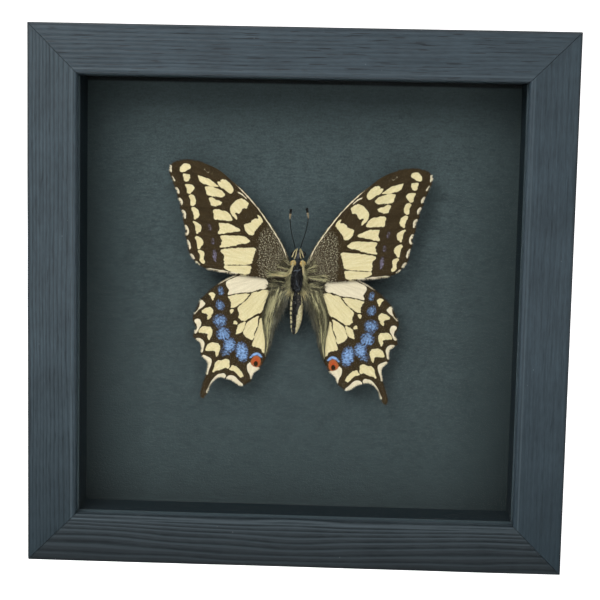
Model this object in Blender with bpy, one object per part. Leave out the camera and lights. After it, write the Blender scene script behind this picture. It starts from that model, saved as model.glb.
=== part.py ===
"""A framed butterfly: a mitred wooden box frame with one spread swallowtail inside.

The frame stands on its lower rail with its glass facing -Y. X runs to the right as seen from the
front, Z runs up, and the origin is the centre of the underside.
"""

import math

import bmesh
import bpy
from mathutils import Matrix, Vector

MM = 0.001

# Driving dimensions of the frame. Depths are measured back from the frame's front face.
FRAME_SIZE = 150.0 * MM
FRAME_DEPTH = 28.0 * MM
RAIL_FACE = 13.6 * MM  # width of the moulding seen from the front
LIP_THICKNESS = 2.4 * MM
REBATE_WIDTH = 5.4 * MM
OUTER_ARRIS = 0.7 * MM
INNER_ARRIS = 0.9 * MM
ARRIS_STEPS = 4
MITRE_GAP = 0.3 * MM
GAP = 0.15 * MM  # between flat pieces stacked in the rebate

GLASS_THICKNESS = 1.0 * MM
CARD_FRONT = 16.0 * MM
CARD_THICKNESS = 1.5 * MM
PANEL_THICKNESS = 2.5 * MM
PANE_CLEARANCE = 0.5 * MM  # between a pane's edge and the rebate wall
SPACER_STEP = 0.3 * MM  # how far the spacers show inside the lip

TAB_LENGTH = 12.0 * MM
TAB_WIDTH = 7.0 * MM
TAB_THICKNESS = 0.5 * MM
TAB_BITE = 3.8 * MM  # how far a tab is driven into the rail
TAB_SPREAD = 38.0 * MM  # from the rail's middle to each of its tabs
SLOT_CLEARANCE = 0.3 * MM

NAIL_LEG = 3.6 * MM
NAIL_THICKNESS = 0.5 * MM
NAIL_DEPTH = 7.0 * MM
NAIL_HALF_ANGLE = math.radians(40)

HANGER_LENGTH = 38.0 * MM
HANGER_HEIGHT = 9.0 * MM
HANGER_THICKNESS = 0.8 * MM
HANGER_RISE = 2.2 * MM  # how far its toothed middle stands off the panel
HANGER_FOOT = 7.0 * MM
HANGER_RAMP = 2.0 * MM
HANGER_CENTRE = 118.0 * MM
TOOTH_COUNT = 8
TOOTH_DEPTH = 1.6 * MM
RIVET_RADIUS = 1.1 * MM
RIVET_HEAD_RADIUS = 2.2 * MM
RIVET_HEAD_HEIGHT = 0.9 * MM
RIVET_BITE = 1.4 * MM

# The specimen. Lengths up the body are measured from the frame's centre, outward lengths from the
# body's own axis, and heights from the face of the card.
BODY_X = -0.8 * MM
WING_THICKNESS = 0.3 * MM
FOREWING_HEIGHT = 4.9 * MM
HINDWING_HEIGHT = 4.3 * MM
CURVE_STEPS = 3
GLUE_RADIUS = 1.6 * MM
GLUE_HEIGHT = 0.7 * MM
GLUE_Z = 6.5 * MM

# Outlines as (outward, up) in millimetres, from the root along the leading edge, round the outer
# margin and back along the inner margin.
FOREWING = [
    (2.8, 10.4), (4.0, 15.1), (6.4, 19.3), (10.0, 24.2), (14.0, 28.6), (18.0, 32.4), (22.0, 35.4),
    (26.0, 37.1), (30.0, 38.2), (33.4, 38.1), (35.4, 37.1), (36.1, 35.0), (35.3, 33.3), (35.1, 31.7),
    (34.2, 30.0), (34.2, 28.3), (33.2, 26.5), (33.1, 24.7), (32.2, 22.6), (32.2, 20.7), (31.4, 18.6),
    (31.5, 16.5), (30.7, 14.5), (30.5, 12.6), (29.2, 10.8), (27.3, 9.0), (24.8, 7.7), (20.0, 6.9),
    (14.0, 6.5), (8.0, 6.2), (3.0, 6.4),
]
HINDWING = [
    (2.9, 5.2), (4.5, 7.0), (8.0, 8.2), (12.0, 8.0), (16.2, 6.7), (20.0, 5.1), (23.0, 3.1), (25.4, 1.0),
    (27.2, -1.3), (28.3, -3.4), (29.0, -5.6), (28.9, -6.9), (28.1, -8.3), (28.3, -9.8), (28.9, -11.4),
    (28.4, -12.5), (27.1, -13.4), (26.8, -15.2), (26.8, -16.9), (26.3, -17.6), (25.0, -18.6),
    (24.6, -20.4), (25.2, -22.8), (26.0, -25.4), (26.7, -28.3), (26.1, -29.5), (25.3, -28.9),
    (24.9, -26.9), (23.7, -24.8), (22.0, -23.6), (20.2, -23.3), (19.2, -23.7), (17.6, -24.1),
    (16.2, -25.0), (15.2, -25.7), (14.2, -25.4), (12.7, -23.9), (12.0, -22.2), (10.6, -20.9),
    (9.3, -18.9), (8.2, -16.4), (7.6, -13.8), (6.6, -9.0), (5.2, -5.2), (3.9, -2.0), (2.9, 1.0),
]

# How each wing was set: side, turn in degrees about its root, and shift outward and up in mm.
WING_ROOT = (2.2, 8.0)
WINGS = {
    "forewing_left": (FOREWING, FOREWING_HEIGHT, -1, 0.0, 0.0, 0.0),
    "forewing_right": (FOREWING, FOREWING_HEIGHT, 1, -1.0, 0.5, -0.6),
    "hindwing_left": (HINDWING, HINDWING_HEIGHT, -1, 0.0, 0.0, 0.0),
    "hindwing_right": (HINDWING, HINDWING_HEIGHT, 1, -0.2, -0.2, -0.5),
}

# Cross-sections of the body: up, half width, half height, height above the card, shift in x, in mm.
HEAD = [
    (10.95, 1.2, 1.1, 3.9, 0.1), (11.4, 1.6, 1.3, 3.9, 0.1), (12.1, 1.7, 1.4, 3.8, 0.1),
    (12.8, 1.4, 1.2, 3.8, 0.1), (13.4, 0.7, 0.7, 3.8, 0.1),
]
THORAX = [
    (2.2, 1.0, 1.4, 4.0, 0.0), (2.9, 1.7, 2.2, 4.0, 0.0), (4.4, 2.2, 2.8, 4.0, 0.0),
    (6.5, 2.3, 2.9, 4.0, 0.0), (8.6, 2.1, 2.7, 4.0, 0.0), (9.9, 1.7, 2.1, 4.0, 0.0),
    (10.6, 1.1, 1.3, 3.9, 0.0),
]
ABDOMEN = [
    (1.85, 1.0, 1.3, 3.6, 0.0), (0.6, 1.6, 1.7, 3.6, 0.0), (-1.5, 1.9, 1.9, 3.5, 0.0),
    (-4.0, 1.9, 1.9, 3.3, -0.1), (-6.5, 1.7, 1.7, 3.1, -0.1), (-8.6, 1.2, 1.3, 3.0, -0.2),
    (-9.9, 0.7, 0.8, 2.9, -0.3), (-10.5, 0.3, 0.4, 2.9, -0.3),
]
BODY_SIDES = 20

# Each antenna: points as (x, up, height above the card), with the radius there, all in mm.
ANTENNA_LEFT = [
    (-1.3, 13.75, 4.0, 0.14), (-1.9, 16.0, 5.0, 0.14), (-2.6, 19.0, 5.6, 0.14),
    (-3.0, 22.4, 5.8, 0.16), (-2.95, 23.8, 5.8, 0.30), (-2.8, 25.2, 5.8, 0.26),
]
ANTENNA_RIGHT = [
    (-0.1, 13.75, 4.0, 0.14), (0.6, 16.0, 5.0, 0.14), (1.5, 19.0, 5.6, 0.14),
    (2.15, 22.8, 5.8, 0.16), (2.0, 24.2, 5.8, 0.30), (1.6, 25.6, 5.8, 0.26),
]

# Values that follow from the ones above.
HALF = FRAME_SIZE / 2
FRONT_Y = -FRAME_DEPTH / 2
WALL = RAIL_FACE - REBATE_WIDTH  # the rail's thickness behind its lip
OPENING_HALF = HALF - RAIL_FACE
REBATE_HALF = HALF - WALL
PANE_HALF = REBATE_HALF - PANE_CLEARANCE
SPACER_HALF = OPENING_HALF - SPACER_STEP
GLASS_FRONT = LIP_THICKNESS + GAP
SPACER_FRONT = GLASS_FRONT + GLASS_THICKNESS + GAP
SPACER_BACK = CARD_FRONT - GAP
PANEL_FRONT = CARD_FRONT + CARD_THICKNESS + GAP
PANEL_BACK = PANEL_FRONT + PANEL_THICKNESS
TAB_FRONT = PANEL_BACK + SLOT_CLEARANCE


def material(name, colour, roughness, metallic=0.0, alpha=1.0):
    """A Principled material with one colour, made once for each name."""
    made = bpy.data.materials.get(name)
    if made is None:
        made = bpy.data.materials.new(name)
        made.use_nodes = True
        shader = made.node_tree.nodes["Principled BSDF"]
        shader.inputs["Base Color"].default_value = (*colour, 1.0)
        shader.inputs["Roughness"].default_value = roughness
        shader.inputs["Metallic"].default_value = metallic
        shader.inputs["Alpha"].default_value = alpha
    return made


def wood():
    return material("stained wood", (0.045, 0.055, 0.065), 0.45)


def steel():
    return material("zinc plated steel", (0.55, 0.56, 0.58), 0.35, metallic=1.0)


def add_mesh(name, built, finish):
    """Puts a finished bmesh into the scene as a named object."""
    bmesh.ops.recalc_face_normals(built, faces=built.faces)
    mesh = bpy.data.meshes.new(name)
    built.to_mesh(mesh)
    built.free()
    mesh.materials.append(finish)
    made = bpy.data.objects.new(name, mesh)
    bpy.context.scene.collection.objects.link(made)
    return made


def prism(built, outline, offset):
    """Adds a closed prism: a planar outline of 3-D points, and its copy moved by offset."""
    near = [built.verts.new(point) for point in outline]
    far = [built.verts.new(Vector(point) + Vector(offset)) for point in outline]
    built.faces.new(near)
    built.faces.new(list(reversed(far)))
    for i, vertex in enumerate(near):
        after = (i + 1) % len(near)
        built.faces.new((vertex, far[i], far[after], near[after]))


def box(built, low, high):
    """Adds an upright box between two corners."""
    outline = [(x, low[1], z) for x, z in
               ((low[0], low[2]), (high[0], low[2]), (high[0], high[2]), (low[0], high[2]))]
    prism(built, outline, (0, high[1] - low[1], 0))


def slab(name, half, front, thickness, finish):
    """A square sheet, centred in the frame, at a depth behind the frame's front."""
    built = bmesh.new()
    box(built, (-half, FRONT_Y + front, HALF - half),
        (half, FRONT_Y + front + thickness, HALF + half))
    return add_mesh(name, built, finish)


def quarter_turn(count):
    """A turn about the frame's centre, by a number of quarters, as seen from the front."""
    centre = Vector((0, 0, HALF))
    turned = Matrix.Rotation(-count * math.pi / 2, 4, "Y")
    return Matrix.Translation(centre) @ turned @ Matrix.Translation(-centre)


def arc(centre, radius, start, end):
    """Points on an arc in the rail's section, from one angle to the other, in degrees."""
    angles = [math.radians(start + (end - start) * i / ARRIS_STEPS) for i in range(ARRIS_STEPS + 1)]
    return [(centre[0] + radius * math.cos(a), centre[1] + radius * math.sin(a)) for a in angles]


def rail_section():
    """The moulding's section as (inward from the outer face, depth): an L with rounded arrises."""
    section = arc((OUTER_ARRIS, OUTER_ARRIS), OUTER_ARRIS, 180, 270)
    section += arc((RAIL_FACE - INNER_ARRIS, INNER_ARRIS), INNER_ARRIS, 270, 360)
    section += [(RAIL_FACE, LIP_THICKNESS), (WALL, LIP_THICKNESS), (WALL, FRAME_DEPTH), (0, FRAME_DEPTH)]
    return section


def rail(name, quarters, cutter):
    """One rail: the section run along the lower edge, mitred at 45 degrees, then turned in place."""
    built = bmesh.new()
    section = rail_section()
    ends = []
    for side in (-1, 1):
        ends.append([
            built.verts.new((side * (HALF - inward - MITRE_GAP / 2), FRONT_Y + depth, inward))
            for inward, depth in section
        ])
    built.faces.new(ends[0])
    built.faces.new(list(reversed(ends[1])))
    for i in range(len(section)):
        after = (i + 1) % len(section)
        built.faces.new((ends[0][i], ends[1][i], ends[1][after], ends[0][after]))
    made = add_mesh(name, built, wood())
    made.data.transform(quarter_turn(quarters))
    made.data.shade_smooth()
    made.data.set_sharp_from_angle(angle=math.radians(35))
    cut = made.modifiers.new("slots", "BOOLEAN")
    cut.operation = "DIFFERENCE"
    cut.object = cutter
    return made


def tab_outline(grow):
    """A retaining tab's outline at the bottom rail's middle, with a point at each end."""
    low = WALL - TAB_BITE - grow
    high = low + TAB_LENGTH + 2 * grow
    half = TAB_WIDTH / 2 + grow
    point = TAB_WIDTH / 3
    return [(0, low), (half, low + point), (half, high - point), (0, high),
            (-half, high - point), (-half, low + point)]


def add_tab(built, along, quarters, grow=0.0):
    """Adds one retaining tab, or with grow the slot it is driven into."""
    near = FRONT_Y + TAB_FRONT - grow
    place = quarter_turn(quarters)
    outline = [place @ Vector((along + x, near, z)) for x, z in tab_outline(grow)]
    prism(built, outline, (0, TAB_THICKNESS + 2 * grow, 0))


def add_corner_nail(built, quarters, grow=0.0):
    """Adds the V-shaped nail that joins the mitre at the lower left, or the slot that it fills."""
    leg = NAIL_LEG + grow
    half = NAIL_THICKNESS / 2 + grow
    tip = Vector((WALL * 0.72, WALL * 0.72))
    towards = Vector((-1, -1)).normalized()
    legs = [Matrix.Rotation(side * NAIL_HALF_ANGLE, 2) @ towards for side in (1, -1)]
    across = [Vector((-legs[0].y, legs[0].x)), Vector((legs[1].y, -legs[1].x))]
    reach = half / math.sin(NAIL_HALF_ANGLE)
    flat = [tip - towards * reach,
            tip + legs[0] * leg + across[0] * half,
            tip + legs[0] * leg - across[0] * half,
            tip + towards * reach,
            tip + legs[1] * leg - across[1] * half,
            tip + legs[1] * leg + across[1] * half]
    place = quarter_turn(quarters)
    near = FRONT_Y + FRAME_DEPTH - NAIL_DEPTH - grow
    outline = [place @ Vector((x - HALF, near, z)) for x, z in flat]
    prism(built, outline, (0, NAIL_DEPTH - (0.0 if grow else SLOT_CLEARANCE) + 2 * grow, 0))


def slot_cutter():
    """Every slot that a tab or a corner nail needs in the rails, as one hidden cutter."""
    built = bmesh.new()
    for quarters in range(4):
        for side in (-1, 1):
            add_tab(built, side * TAB_SPREAD, quarters, SLOT_CLEARANCE)
        add_corner_nail(built, quarters, SLOT_CLEARANCE)
    made = add_mesh("slot_cutter", built, steel())
    made.hide_render = True
    made.display_type = "WIRE"
    return made


def spacers():
    """Four strips of black foam board that hold the glass away from the card."""
    finish = material("black foam board", (0.018, 0.022, 0.024), 0.8)
    low_y, high_y = FRONT_Y + SPACER_FRONT, FRONT_Y + SPACER_BACK
    inner, outer = SPACER_HALF, PANE_HALF
    strips = {
        "spacer_top": ((-outer, inner), (outer, outer)),
        "spacer_bottom": ((-outer, -outer), (outer, -inner)),
        "spacer_left": ((-outer, -inner + GAP), (-inner, inner - GAP)),
        "spacer_right": ((inner, -inner + GAP), (outer, inner - GAP)),
    }
    for name, (low, high) in strips.items():
        built = bmesh.new()
        box(built, (low[0], low_y, HALF + low[1]), (high[0], high_y, HALF + high[1]))
        add_mesh(name, built, finish)


def rivet_solid(built, x, grow=0.0):
    """Adds a rivet's shank, and its domed head unless it is grown into a cutter."""
    sides = 20
    plate_back = FRONT_Y + PANEL_BACK + SLOT_CLEARANCE + HANGER_THICKNESS
    shank_front = FRONT_Y + PANEL_BACK - RIVET_BITE - grow
    head = plate_back + SLOT_CLEARANCE
    rings = [(shank_front, RIVET_RADIUS + grow)]
    if grow:
        rings.append((head + 2 * MM, RIVET_RADIUS + grow))
    else:
        rings += [(head, RIVET_RADIUS), (head, RIVET_HEAD_RADIUS)]
        for i in range(1, 5):
            angle = i / 5 * math.pi / 2
            rings.append((head + RIVET_HEAD_HEIGHT * math.sin(angle),
                          RIVET_HEAD_RADIUS * math.cos(angle)))
    circles = []
    for y, radius in rings:
        circles.append([
            built.verts.new((x + radius * math.cos(math.tau * i / sides), y,
                             HANGER_CENTRE + radius * math.sin(math.tau * i / sides)))
            for i in range(sides)
        ])
    built.faces.new(circles[0])
    built.faces.new(list(reversed(circles[-1])))
    for ring, after in zip(circles, circles[1:]):
        for i in range(sides):
            built.faces.new((ring[i], after[i], after[(i + 1) % sides], ring[(i + 1) % sides]))


def rivet_places():
    reach = HANGER_LENGTH / 2 - HANGER_FOOT / 2
    return {"hanger_rivet_left": -reach, "hanger_rivet_right": reach}


def hanger(cutter):
    """The saw-tooth hanger: a pressed strip whose raised middle has teeth along its lower edge."""
    half = HANGER_LENGTH / 2
    ramp_out, ramp_in = half - HANGER_FOOT, half - HANGER_FOOT - HANGER_RAMP
    base = FRONT_Y + PANEL_BACK + SLOT_CLEARANCE
    low, high = HANGER_CENTRE - HANGER_HEIGHT / 2, HANGER_CENTRE + HANGER_HEIGHT / 2
    stations = [(-half, 0.0, low), (-ramp_out, 0.0, low), (-ramp_in, HANGER_RISE, low)]
    pitch = 2 * ramp_in / TOOTH_COUNT
    for i in range(TOOTH_COUNT):
        start = -ramp_in + i * pitch
        stations.append((start + pitch / 2, HANGER_RISE, low + TOOTH_DEPTH))
        stations.append((start + pitch, HANGER_RISE, low))
    stations += [(ramp_out, 0.0, low), (half, 0.0, low)]
    built = bmesh.new()
    rings = []
    for x, rise, lower_edge in stations:
        near, far = base + rise, base + rise + HANGER_THICKNESS
        corners = ((near, lower_edge), (far, lower_edge), (far, high), (near, high))
        rings.append([built.verts.new((x, y, z)) for y, z in corners])
    built.faces.new(rings[0])
    built.faces.new(list(reversed(rings[-1])))
    for ring, after in zip(rings, rings[1:]):
        for i in range(4):
            built.faces.new((ring[i], after[i], after[(i + 1) % 4], ring[(i + 1) % 4]))
    made = add_mesh("sawtooth_hanger", built, steel())
    add_difference(made, cutter)


def add_difference(target, cutter):
    cut = target.modifiers.new("rivet holes", "BOOLEAN")
    cut.operation = "DIFFERENCE"
    cut.object = cutter


def hanging_hardware(panel):
    """The hanger and its two rivets, with the holes for them through hanger and panel."""
    built = bmesh.new()
    for x in rivet_places().values():
        rivet_solid(built, x, SLOT_CLEARANCE)
    cutter = add_mesh("rivet_cutter", built, steel())
    cutter.hide_render = True
    cutter.display_type = "WIRE"
    add_difference(panel, cutter)
    hanger(cutter)
    for name, x in rivet_places().items():
        built = bmesh.new()
        rivet_solid(built, x)
        made = add_mesh(name, built, steel())
        made.data.shade_smooth()
        made.data.set_sharp_from_angle(angle=math.radians(35))


def smooth_outline(points):
    """A closed Catmull-Rom curve through the points, with a few steps between each pair."""
    smooth = []
    count = len(points)
    for i in range(count):
        a, b, c, d = (Vector(points[(i + k) % count]) for k in (-1, 0, 1, 2))
        for step in range(CURVE_STEPS):
            t = step / CURVE_STEPS
            smooth.append(0.5 * (2 * b + (c - a) * t + (2 * a - 5 * b + 4 * c - d) * t ** 2
                                 + (3 * b - a - 3 * c + d) * t ** 3))
    return smooth


def wing(name, outline, height, side, turn, outward, up):
    """A thin flat wing, with its outline turned about its root and shifted as it was set."""
    root = Vector(WING_ROOT)
    set_out = Matrix.Rotation(math.radians(turn), 2)
    near = FRONT_Y + CARD_FRONT - height - WING_THICKNESS / 2
    placed = []
    for point in smooth_outline(outline):
        flat = set_out @ (point - root) + root + Vector((outward, up))
        placed.append((BODY_X + side * flat.x * MM, near, HALF + flat.y * MM))
    built = bmesh.new()
    prism(built, placed, (0, WING_THICKNESS, 0))
    add_mesh(name, built, material("wing membrane", (0.22, 0.19, 0.12), 0.6))


def lofted_body(name, sections, colour):
    """A closed body through elliptical sections stacked along the specimen's length."""
    built = bmesh.new()
    rings = []
    for up, half_width, half_height, height, shift in sections:
        centre_x = BODY_X + shift * MM
        centre_y = FRONT_Y + CARD_FRONT - height * MM
        rings.append([
            built.verts.new((centre_x + half_width * MM * math.cos(math.tau * i / BODY_SIDES),
                             centre_y + half_height * MM * math.sin(math.tau * i / BODY_SIDES),
                             HALF + up * MM))
            for i in range(BODY_SIDES)
        ])
    built.faces.new(rings[0])
    built.faces.new(list(reversed(rings[-1])))
    for ring, after in zip(rings, rings[1:]):
        for i in range(BODY_SIDES):
            nxt = (i + 1) % BODY_SIDES
            built.faces.new((ring[i], after[i], after[nxt], ring[nxt]))
    made = add_mesh(name, built, material(name + " cuticle", colour, 0.7))
    made.data.shade_smooth()


def antenna(name, points):
    """A thin feeler that swells into a club, as a tube along a line of points."""
    line = bpy.data.curves.new(name, "CURVE")
    line.dimensions = "3D"
    line.bevel_depth = 1.0 * MM
    line.bevel_resolution = 2
    line.use_fill_caps = True
    spline = line.splines.new("POLY")
    spline.points.add(len(points) - 1)
    for target, (x, up, height, radius) in zip(spline.points, points):
        y = FRONT_Y + CARD_FRONT - height * MM
        target.co = (x * MM, y, HALF + up * MM, 1.0)
        target.radius = radius
    line.materials.append(material("antenna", (0.02, 0.016, 0.012), 0.5))
    bpy.context.scene.collection.objects.link(bpy.data.objects.new(name, line))


def glue_bead():
    """The flattened bead of glue that holds the thorax on the card."""
    sides = 16
    centre = Vector((BODY_X, 0, HALF + GLUE_Z))
    built = bmesh.new()
    rings = []
    for share, rise in ((1.0, 0.0), (1.0, 0.4), (0.8, 0.8), (0.55, 1.0)):
        y = FRONT_Y + CARD_FRONT - GAP - GLUE_HEIGHT * rise
        rings.append([
            built.verts.new((centre.x + GLUE_RADIUS * share * math.cos(math.tau * i / sides), y,
                             centre.z + GLUE_RADIUS * share * math.sin(math.tau * i / sides)))
            for i in range(sides)
        ])
    built.faces.new(rings[0])
    built.faces.new(list(reversed(rings[-1])))
    for ring, after in zip(rings, rings[1:]):
        for i in range(sides):
            built.faces.new((ring[i], after[i], after[(i + 1) % sides], ring[(i + 1) % sides]))
    add_mesh("glue_bead", built, material("clear glue", (0.75, 0.72, 0.6), 0.25))


def frame_pieces():
    """The four rails with the nails and tabs that hold them and the back together."""
    cutter = slot_cutter()
    for quarters, side in enumerate(("bottom", "right", "top", "left")):
        rail("rail_" + side, quarters, cutter)
        for number, along in ((1, -TAB_SPREAD), (2, TAB_SPREAD)):
            built = bmesh.new()
            add_tab(built, along, quarters)
            add_mesh(f"tab_{side}_{number}", built, steel())
    corners = ("bottom_left", "bottom_right", "top_right", "top_left")
    for quarters, corner in enumerate(corners):
        built = bmesh.new()
        add_corner_nail(built, quarters)
        add_mesh("corner_nail_" + corner, built, steel())


def filling():
    """Everything stacked in the rebate, from the glass to the hanger on the back panel."""
    slab("glass_pane", PANE_HALF, GLASS_FRONT, GLASS_THICKNESS,
         material("clear glass", (0.9, 0.95, 0.95), 0.02, alpha=0.15))
    spacers()
    slab("backing_card", PANE_HALF, CARD_FRONT, CARD_THICKNESS,
         material("slate grey card", (0.042, 0.055, 0.06), 0.85))
    panel = slab("back_panel", PANE_HALF, PANEL_FRONT, PANEL_THICKNESS,
                 material("hardboard", (0.30, 0.19, 0.11), 0.75))
    hanging_hardware(panel)


def butterfly():
    """The specimen: wings, body, feelers and the glue under its thorax."""
    for name, setting in WINGS.items():
        wing(name, *setting)
    lofted_body("head", HEAD, (0.03, 0.025, 0.02))
    lofted_body("thorax", THORAX, (0.04, 0.038, 0.03))
    lofted_body("abdomen", ABDOMEN, (0.10, 0.085, 0.045))
    antenna("antenna_left", ANTENNA_LEFT)
    antenna("antenna_right", ANTENNA_RIGHT)
    glue_bead()


def main():
    for old in list(bpy.data.objects):
        bpy.data.objects.remove(old)
    frame_pieces()
    filling()
    butterfly()


main()
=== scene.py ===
# %% [markdown]
# # A framed swallowtail
#
# The object is a small square box frame with a swallowtail butterfly spread on grey card behind
# glass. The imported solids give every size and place. This lesson gives them their looks: brushed
# and stained softwood, clear glass, mount card, and a butterfly with scaled wings and long hair.
#
# Nearly every new shape below is a surface worked out with numpy. Two parameters run over a grid,
# a formula turns them into points, and the finished arrays go into a mesh in one call.

# %% Load the solids
import math

import bpy
import numpy as np
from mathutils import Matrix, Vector


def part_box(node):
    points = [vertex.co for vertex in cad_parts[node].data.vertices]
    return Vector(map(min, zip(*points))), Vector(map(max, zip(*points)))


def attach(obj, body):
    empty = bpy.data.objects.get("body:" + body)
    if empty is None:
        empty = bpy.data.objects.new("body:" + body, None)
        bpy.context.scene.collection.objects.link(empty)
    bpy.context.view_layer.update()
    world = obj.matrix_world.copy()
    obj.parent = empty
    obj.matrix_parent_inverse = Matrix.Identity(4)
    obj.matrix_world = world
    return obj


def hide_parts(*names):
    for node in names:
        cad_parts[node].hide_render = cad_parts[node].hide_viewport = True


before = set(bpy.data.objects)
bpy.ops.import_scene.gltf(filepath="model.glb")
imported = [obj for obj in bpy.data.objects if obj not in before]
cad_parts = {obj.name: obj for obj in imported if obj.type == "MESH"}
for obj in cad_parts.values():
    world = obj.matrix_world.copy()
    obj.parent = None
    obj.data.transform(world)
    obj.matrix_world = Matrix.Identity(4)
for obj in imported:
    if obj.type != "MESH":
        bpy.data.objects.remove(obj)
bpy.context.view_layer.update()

MM = 0.001

# %% [markdown]
# ## The camera
#
# The camera stands a little to the right of the frame and above its centre, and looks slightly
# down. A long lens keeps the frame nearly square. The small roll is that of a camera held by hand.

# %% The camera's place and aim
FRONT_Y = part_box("rail_bottom")[0].y
CENTRE_Z = (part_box("rail_bottom")[0].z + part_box("rail_top")[1].z) / 2
CAMERA_DISTANCE = 410.5 * MM  # in front of the frame's face
CAMERA_RIGHT = 13.6 * MM
CAMERA_ABOVE = 51.3 * MM  # above the frame's centre
AIM_RIGHT = 0.6 * MM
AIM_ABOVE = 0.86 * MM
CAMERA_ROLL = math.radians(1.19)
LENS = 90.2

camera = bpy.data.objects.new("camera", bpy.data.cameras.new("camera"))
bpy.context.scene.collection.objects.link(camera)
camera.data.lens = LENS
camera.data.sensor_width = 36.0
camera.data.clip_start = 0.01
camera.location = (CAMERA_RIGHT, FRONT_Y - CAMERA_DISTANCE, CENTRE_Z + CAMERA_ABOVE)
aim = Vector((AIM_RIGHT, FRONT_Y, CENTRE_Z + AIM_ABOVE)) - camera.location
camera.rotation_euler = aim.to_track_quat("-Z", "Y").to_euler()
camera.rotation_euler.rotate_axis("Z", CAMERA_ROLL)
bpy.context.scene.camera = camera
print("the camera is", round(aim.length, 3), "m from the glass")

# %% [markdown]
# ## The studio
#
# A black frame with glass in it is lit best by a tent: one pale sweep of floor and wall, and even
# light from everywhere, so that nothing sharp is mirrored. Two broad lamps above and in front add
# just enough direction for the brushed grain to cast its small shadows downwards. The paper glows
# a little, as paper lit from behind does, but not in front of the frame, where its light would
# flatten the lower rail.

# %% Floor, sky and lamps
FLOOR_HALF_WIDTH = 2.5
FLOOR_FRONT = -2.4
FLOOR_BACK = 1.0
SWEEP_RADIUS = 0.6
WALL_TOP = 2.4
SKY = (1.0, 1.0, 1.0)
SKY_STRENGTH = 0.22
PAPER = (0.68, 0.68, 0.68)
GLOW = 0.95  # how brightly the paper glows behind the object and below it
FADE_FRONT = -0.14  # it doesn't glow nearer than this, so that nothing bright lights the lower rail
FADE_BACK = -0.048  # the glow is full from here back


def new_material(name):
    """A material whose node tree is empty. Both are returned."""
    made = bpy.data.materials.new(name)
    made.use_nodes = True
    tree = made.node_tree
    tree.nodes.clear()
    return made, tree


def sweep_profile(steps=16):
    """Floor line, quarter circle and wall line, as (y, z) points from front to back."""
    angle = np.linspace(0, math.pi / 2, steps)
    bend_y = FLOOR_BACK + SWEEP_RADIUS * np.sin(angle)
    bend_z = SWEEP_RADIUS * (1 - np.cos(angle))
    y = np.concatenate([[FLOOR_FRONT], bend_y, [FLOOR_BACK + SWEEP_RADIUS]])
    z = np.concatenate([[0.0], bend_z, [WALL_TOP]])
    return np.stack([y, z], axis=1)


profile = sweep_profile()
sides = np.array([-FLOOR_HALF_WIDTH, FLOOR_HALF_WIDTH])
sweep_points = [(x, y, z) for x in sides for y, z in profile]
count = len(profile)
sweep_faces = [(count + i, count + i + 1, i + 1, i) for i in range(count - 1)]
sweep_mesh = bpy.data.meshes.new("studio_sweep")
sweep_mesh.from_pydata(sweep_points, [], sweep_faces)
sweep = bpy.data.objects.new("studio_sweep", sweep_mesh)
bpy.context.scene.collection.objects.link(sweep)
paper, tree = new_material("studio paper")
output = tree.nodes.new("ShaderNodeOutputMaterial")
shader = tree.nodes.new("ShaderNodeBsdfPrincipled")
shader.inputs["Base Color"].default_value = (*PAPER, 1)
shader.inputs["Roughness"].default_value = 0.9
shader.inputs["Specular IOR Level"].default_value = 0.1
shader.inputs["Emission Color"].default_value = (1, 1, 1, 1)
depth = tree.nodes.new("ShaderNodeSeparateXYZ")
fade = tree.nodes.new("ShaderNodeMapRange")
fade.inputs["From Min"].default_value = FADE_FRONT
fade.inputs["From Max"].default_value = FADE_BACK
fade.inputs["To Max"].default_value = GLOW
tree.links.new(tree.nodes.new("ShaderNodeTexCoord").outputs["Object"], depth.inputs["Vector"])
tree.links.new(depth.outputs["Y"], fade.inputs["Value"])
tree.links.new(fade.outputs["Result"], shader.inputs["Emission Strength"])
tree.links.new(shader.outputs["BSDF"], output.inputs["Surface"])
sweep_mesh.materials.append(paper)
sweep_mesh.shade_smooth()

world = bpy.data.worlds.new("studio sky")
bpy.context.scene.world = world
world.use_nodes = True
world.node_tree.nodes["Background"].inputs["Color"].default_value = (*SKY, 1)
world.node_tree.nodes["Background"].inputs["Strength"].default_value = SKY_STRENGTH


def soft_lamp(name, place, target, size, power):
    """A square area lamp at a place, turned to face a target."""
    made = bpy.data.objects.new(name, bpy.data.lights.new(name, "AREA"))
    made.data.size = size
    made.data.energy = power
    made.location = place
    made.rotation_euler = (Vector(target) - Vector(place)).to_track_quat("-Z", "Y").to_euler()
    bpy.context.scene.collection.objects.link(made)
    return made


soft_lamp("key, upper left", (-0.28, -0.36, 0.46), (0, 0, CENTRE_Z), 0.4, 3.7)
soft_lamp("fill, upper right", (0.34, -0.50, 0.60), (0, 0, CENTRE_Z), 0.5, 2.3)
bpy.context.scene.view_settings.view_transform = "Standard"
print("the floor runs", round(FLOOR_BACK - FLOOR_FRONT, 1), "m under the frame")

# %% [markdown]
# ## Helpers for every surface
#
# A few small helpers do the repeated work. The first put arrays into a mesh, hide the solids that
# the new piece stands for and keep numbers on its points. Then comes smooth noise in two directions,
# for wood that wanders and wings that ripple. The last builds shader nodes in a single line each.

# %% Arrays into pieces
def add_piece(name, points, faces, finish, stands_for=(), smooth=True):
    """Puts points and outward faces into a mesh, as a piece that rides with the frame."""
    mesh = bpy.data.meshes.new(name)
    mesh.from_pydata(np.asarray(points).tolist(), [], [list(face) for face in faces])
    mesh.materials.append(finish)
    if smooth:
        mesh.shade_smooth()
    made = bpy.data.objects.new(name, mesh)
    bpy.context.scene.collection.objects.link(made)
    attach(made, "root")
    if stands_for:
        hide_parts(*stands_for)
    return made


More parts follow.
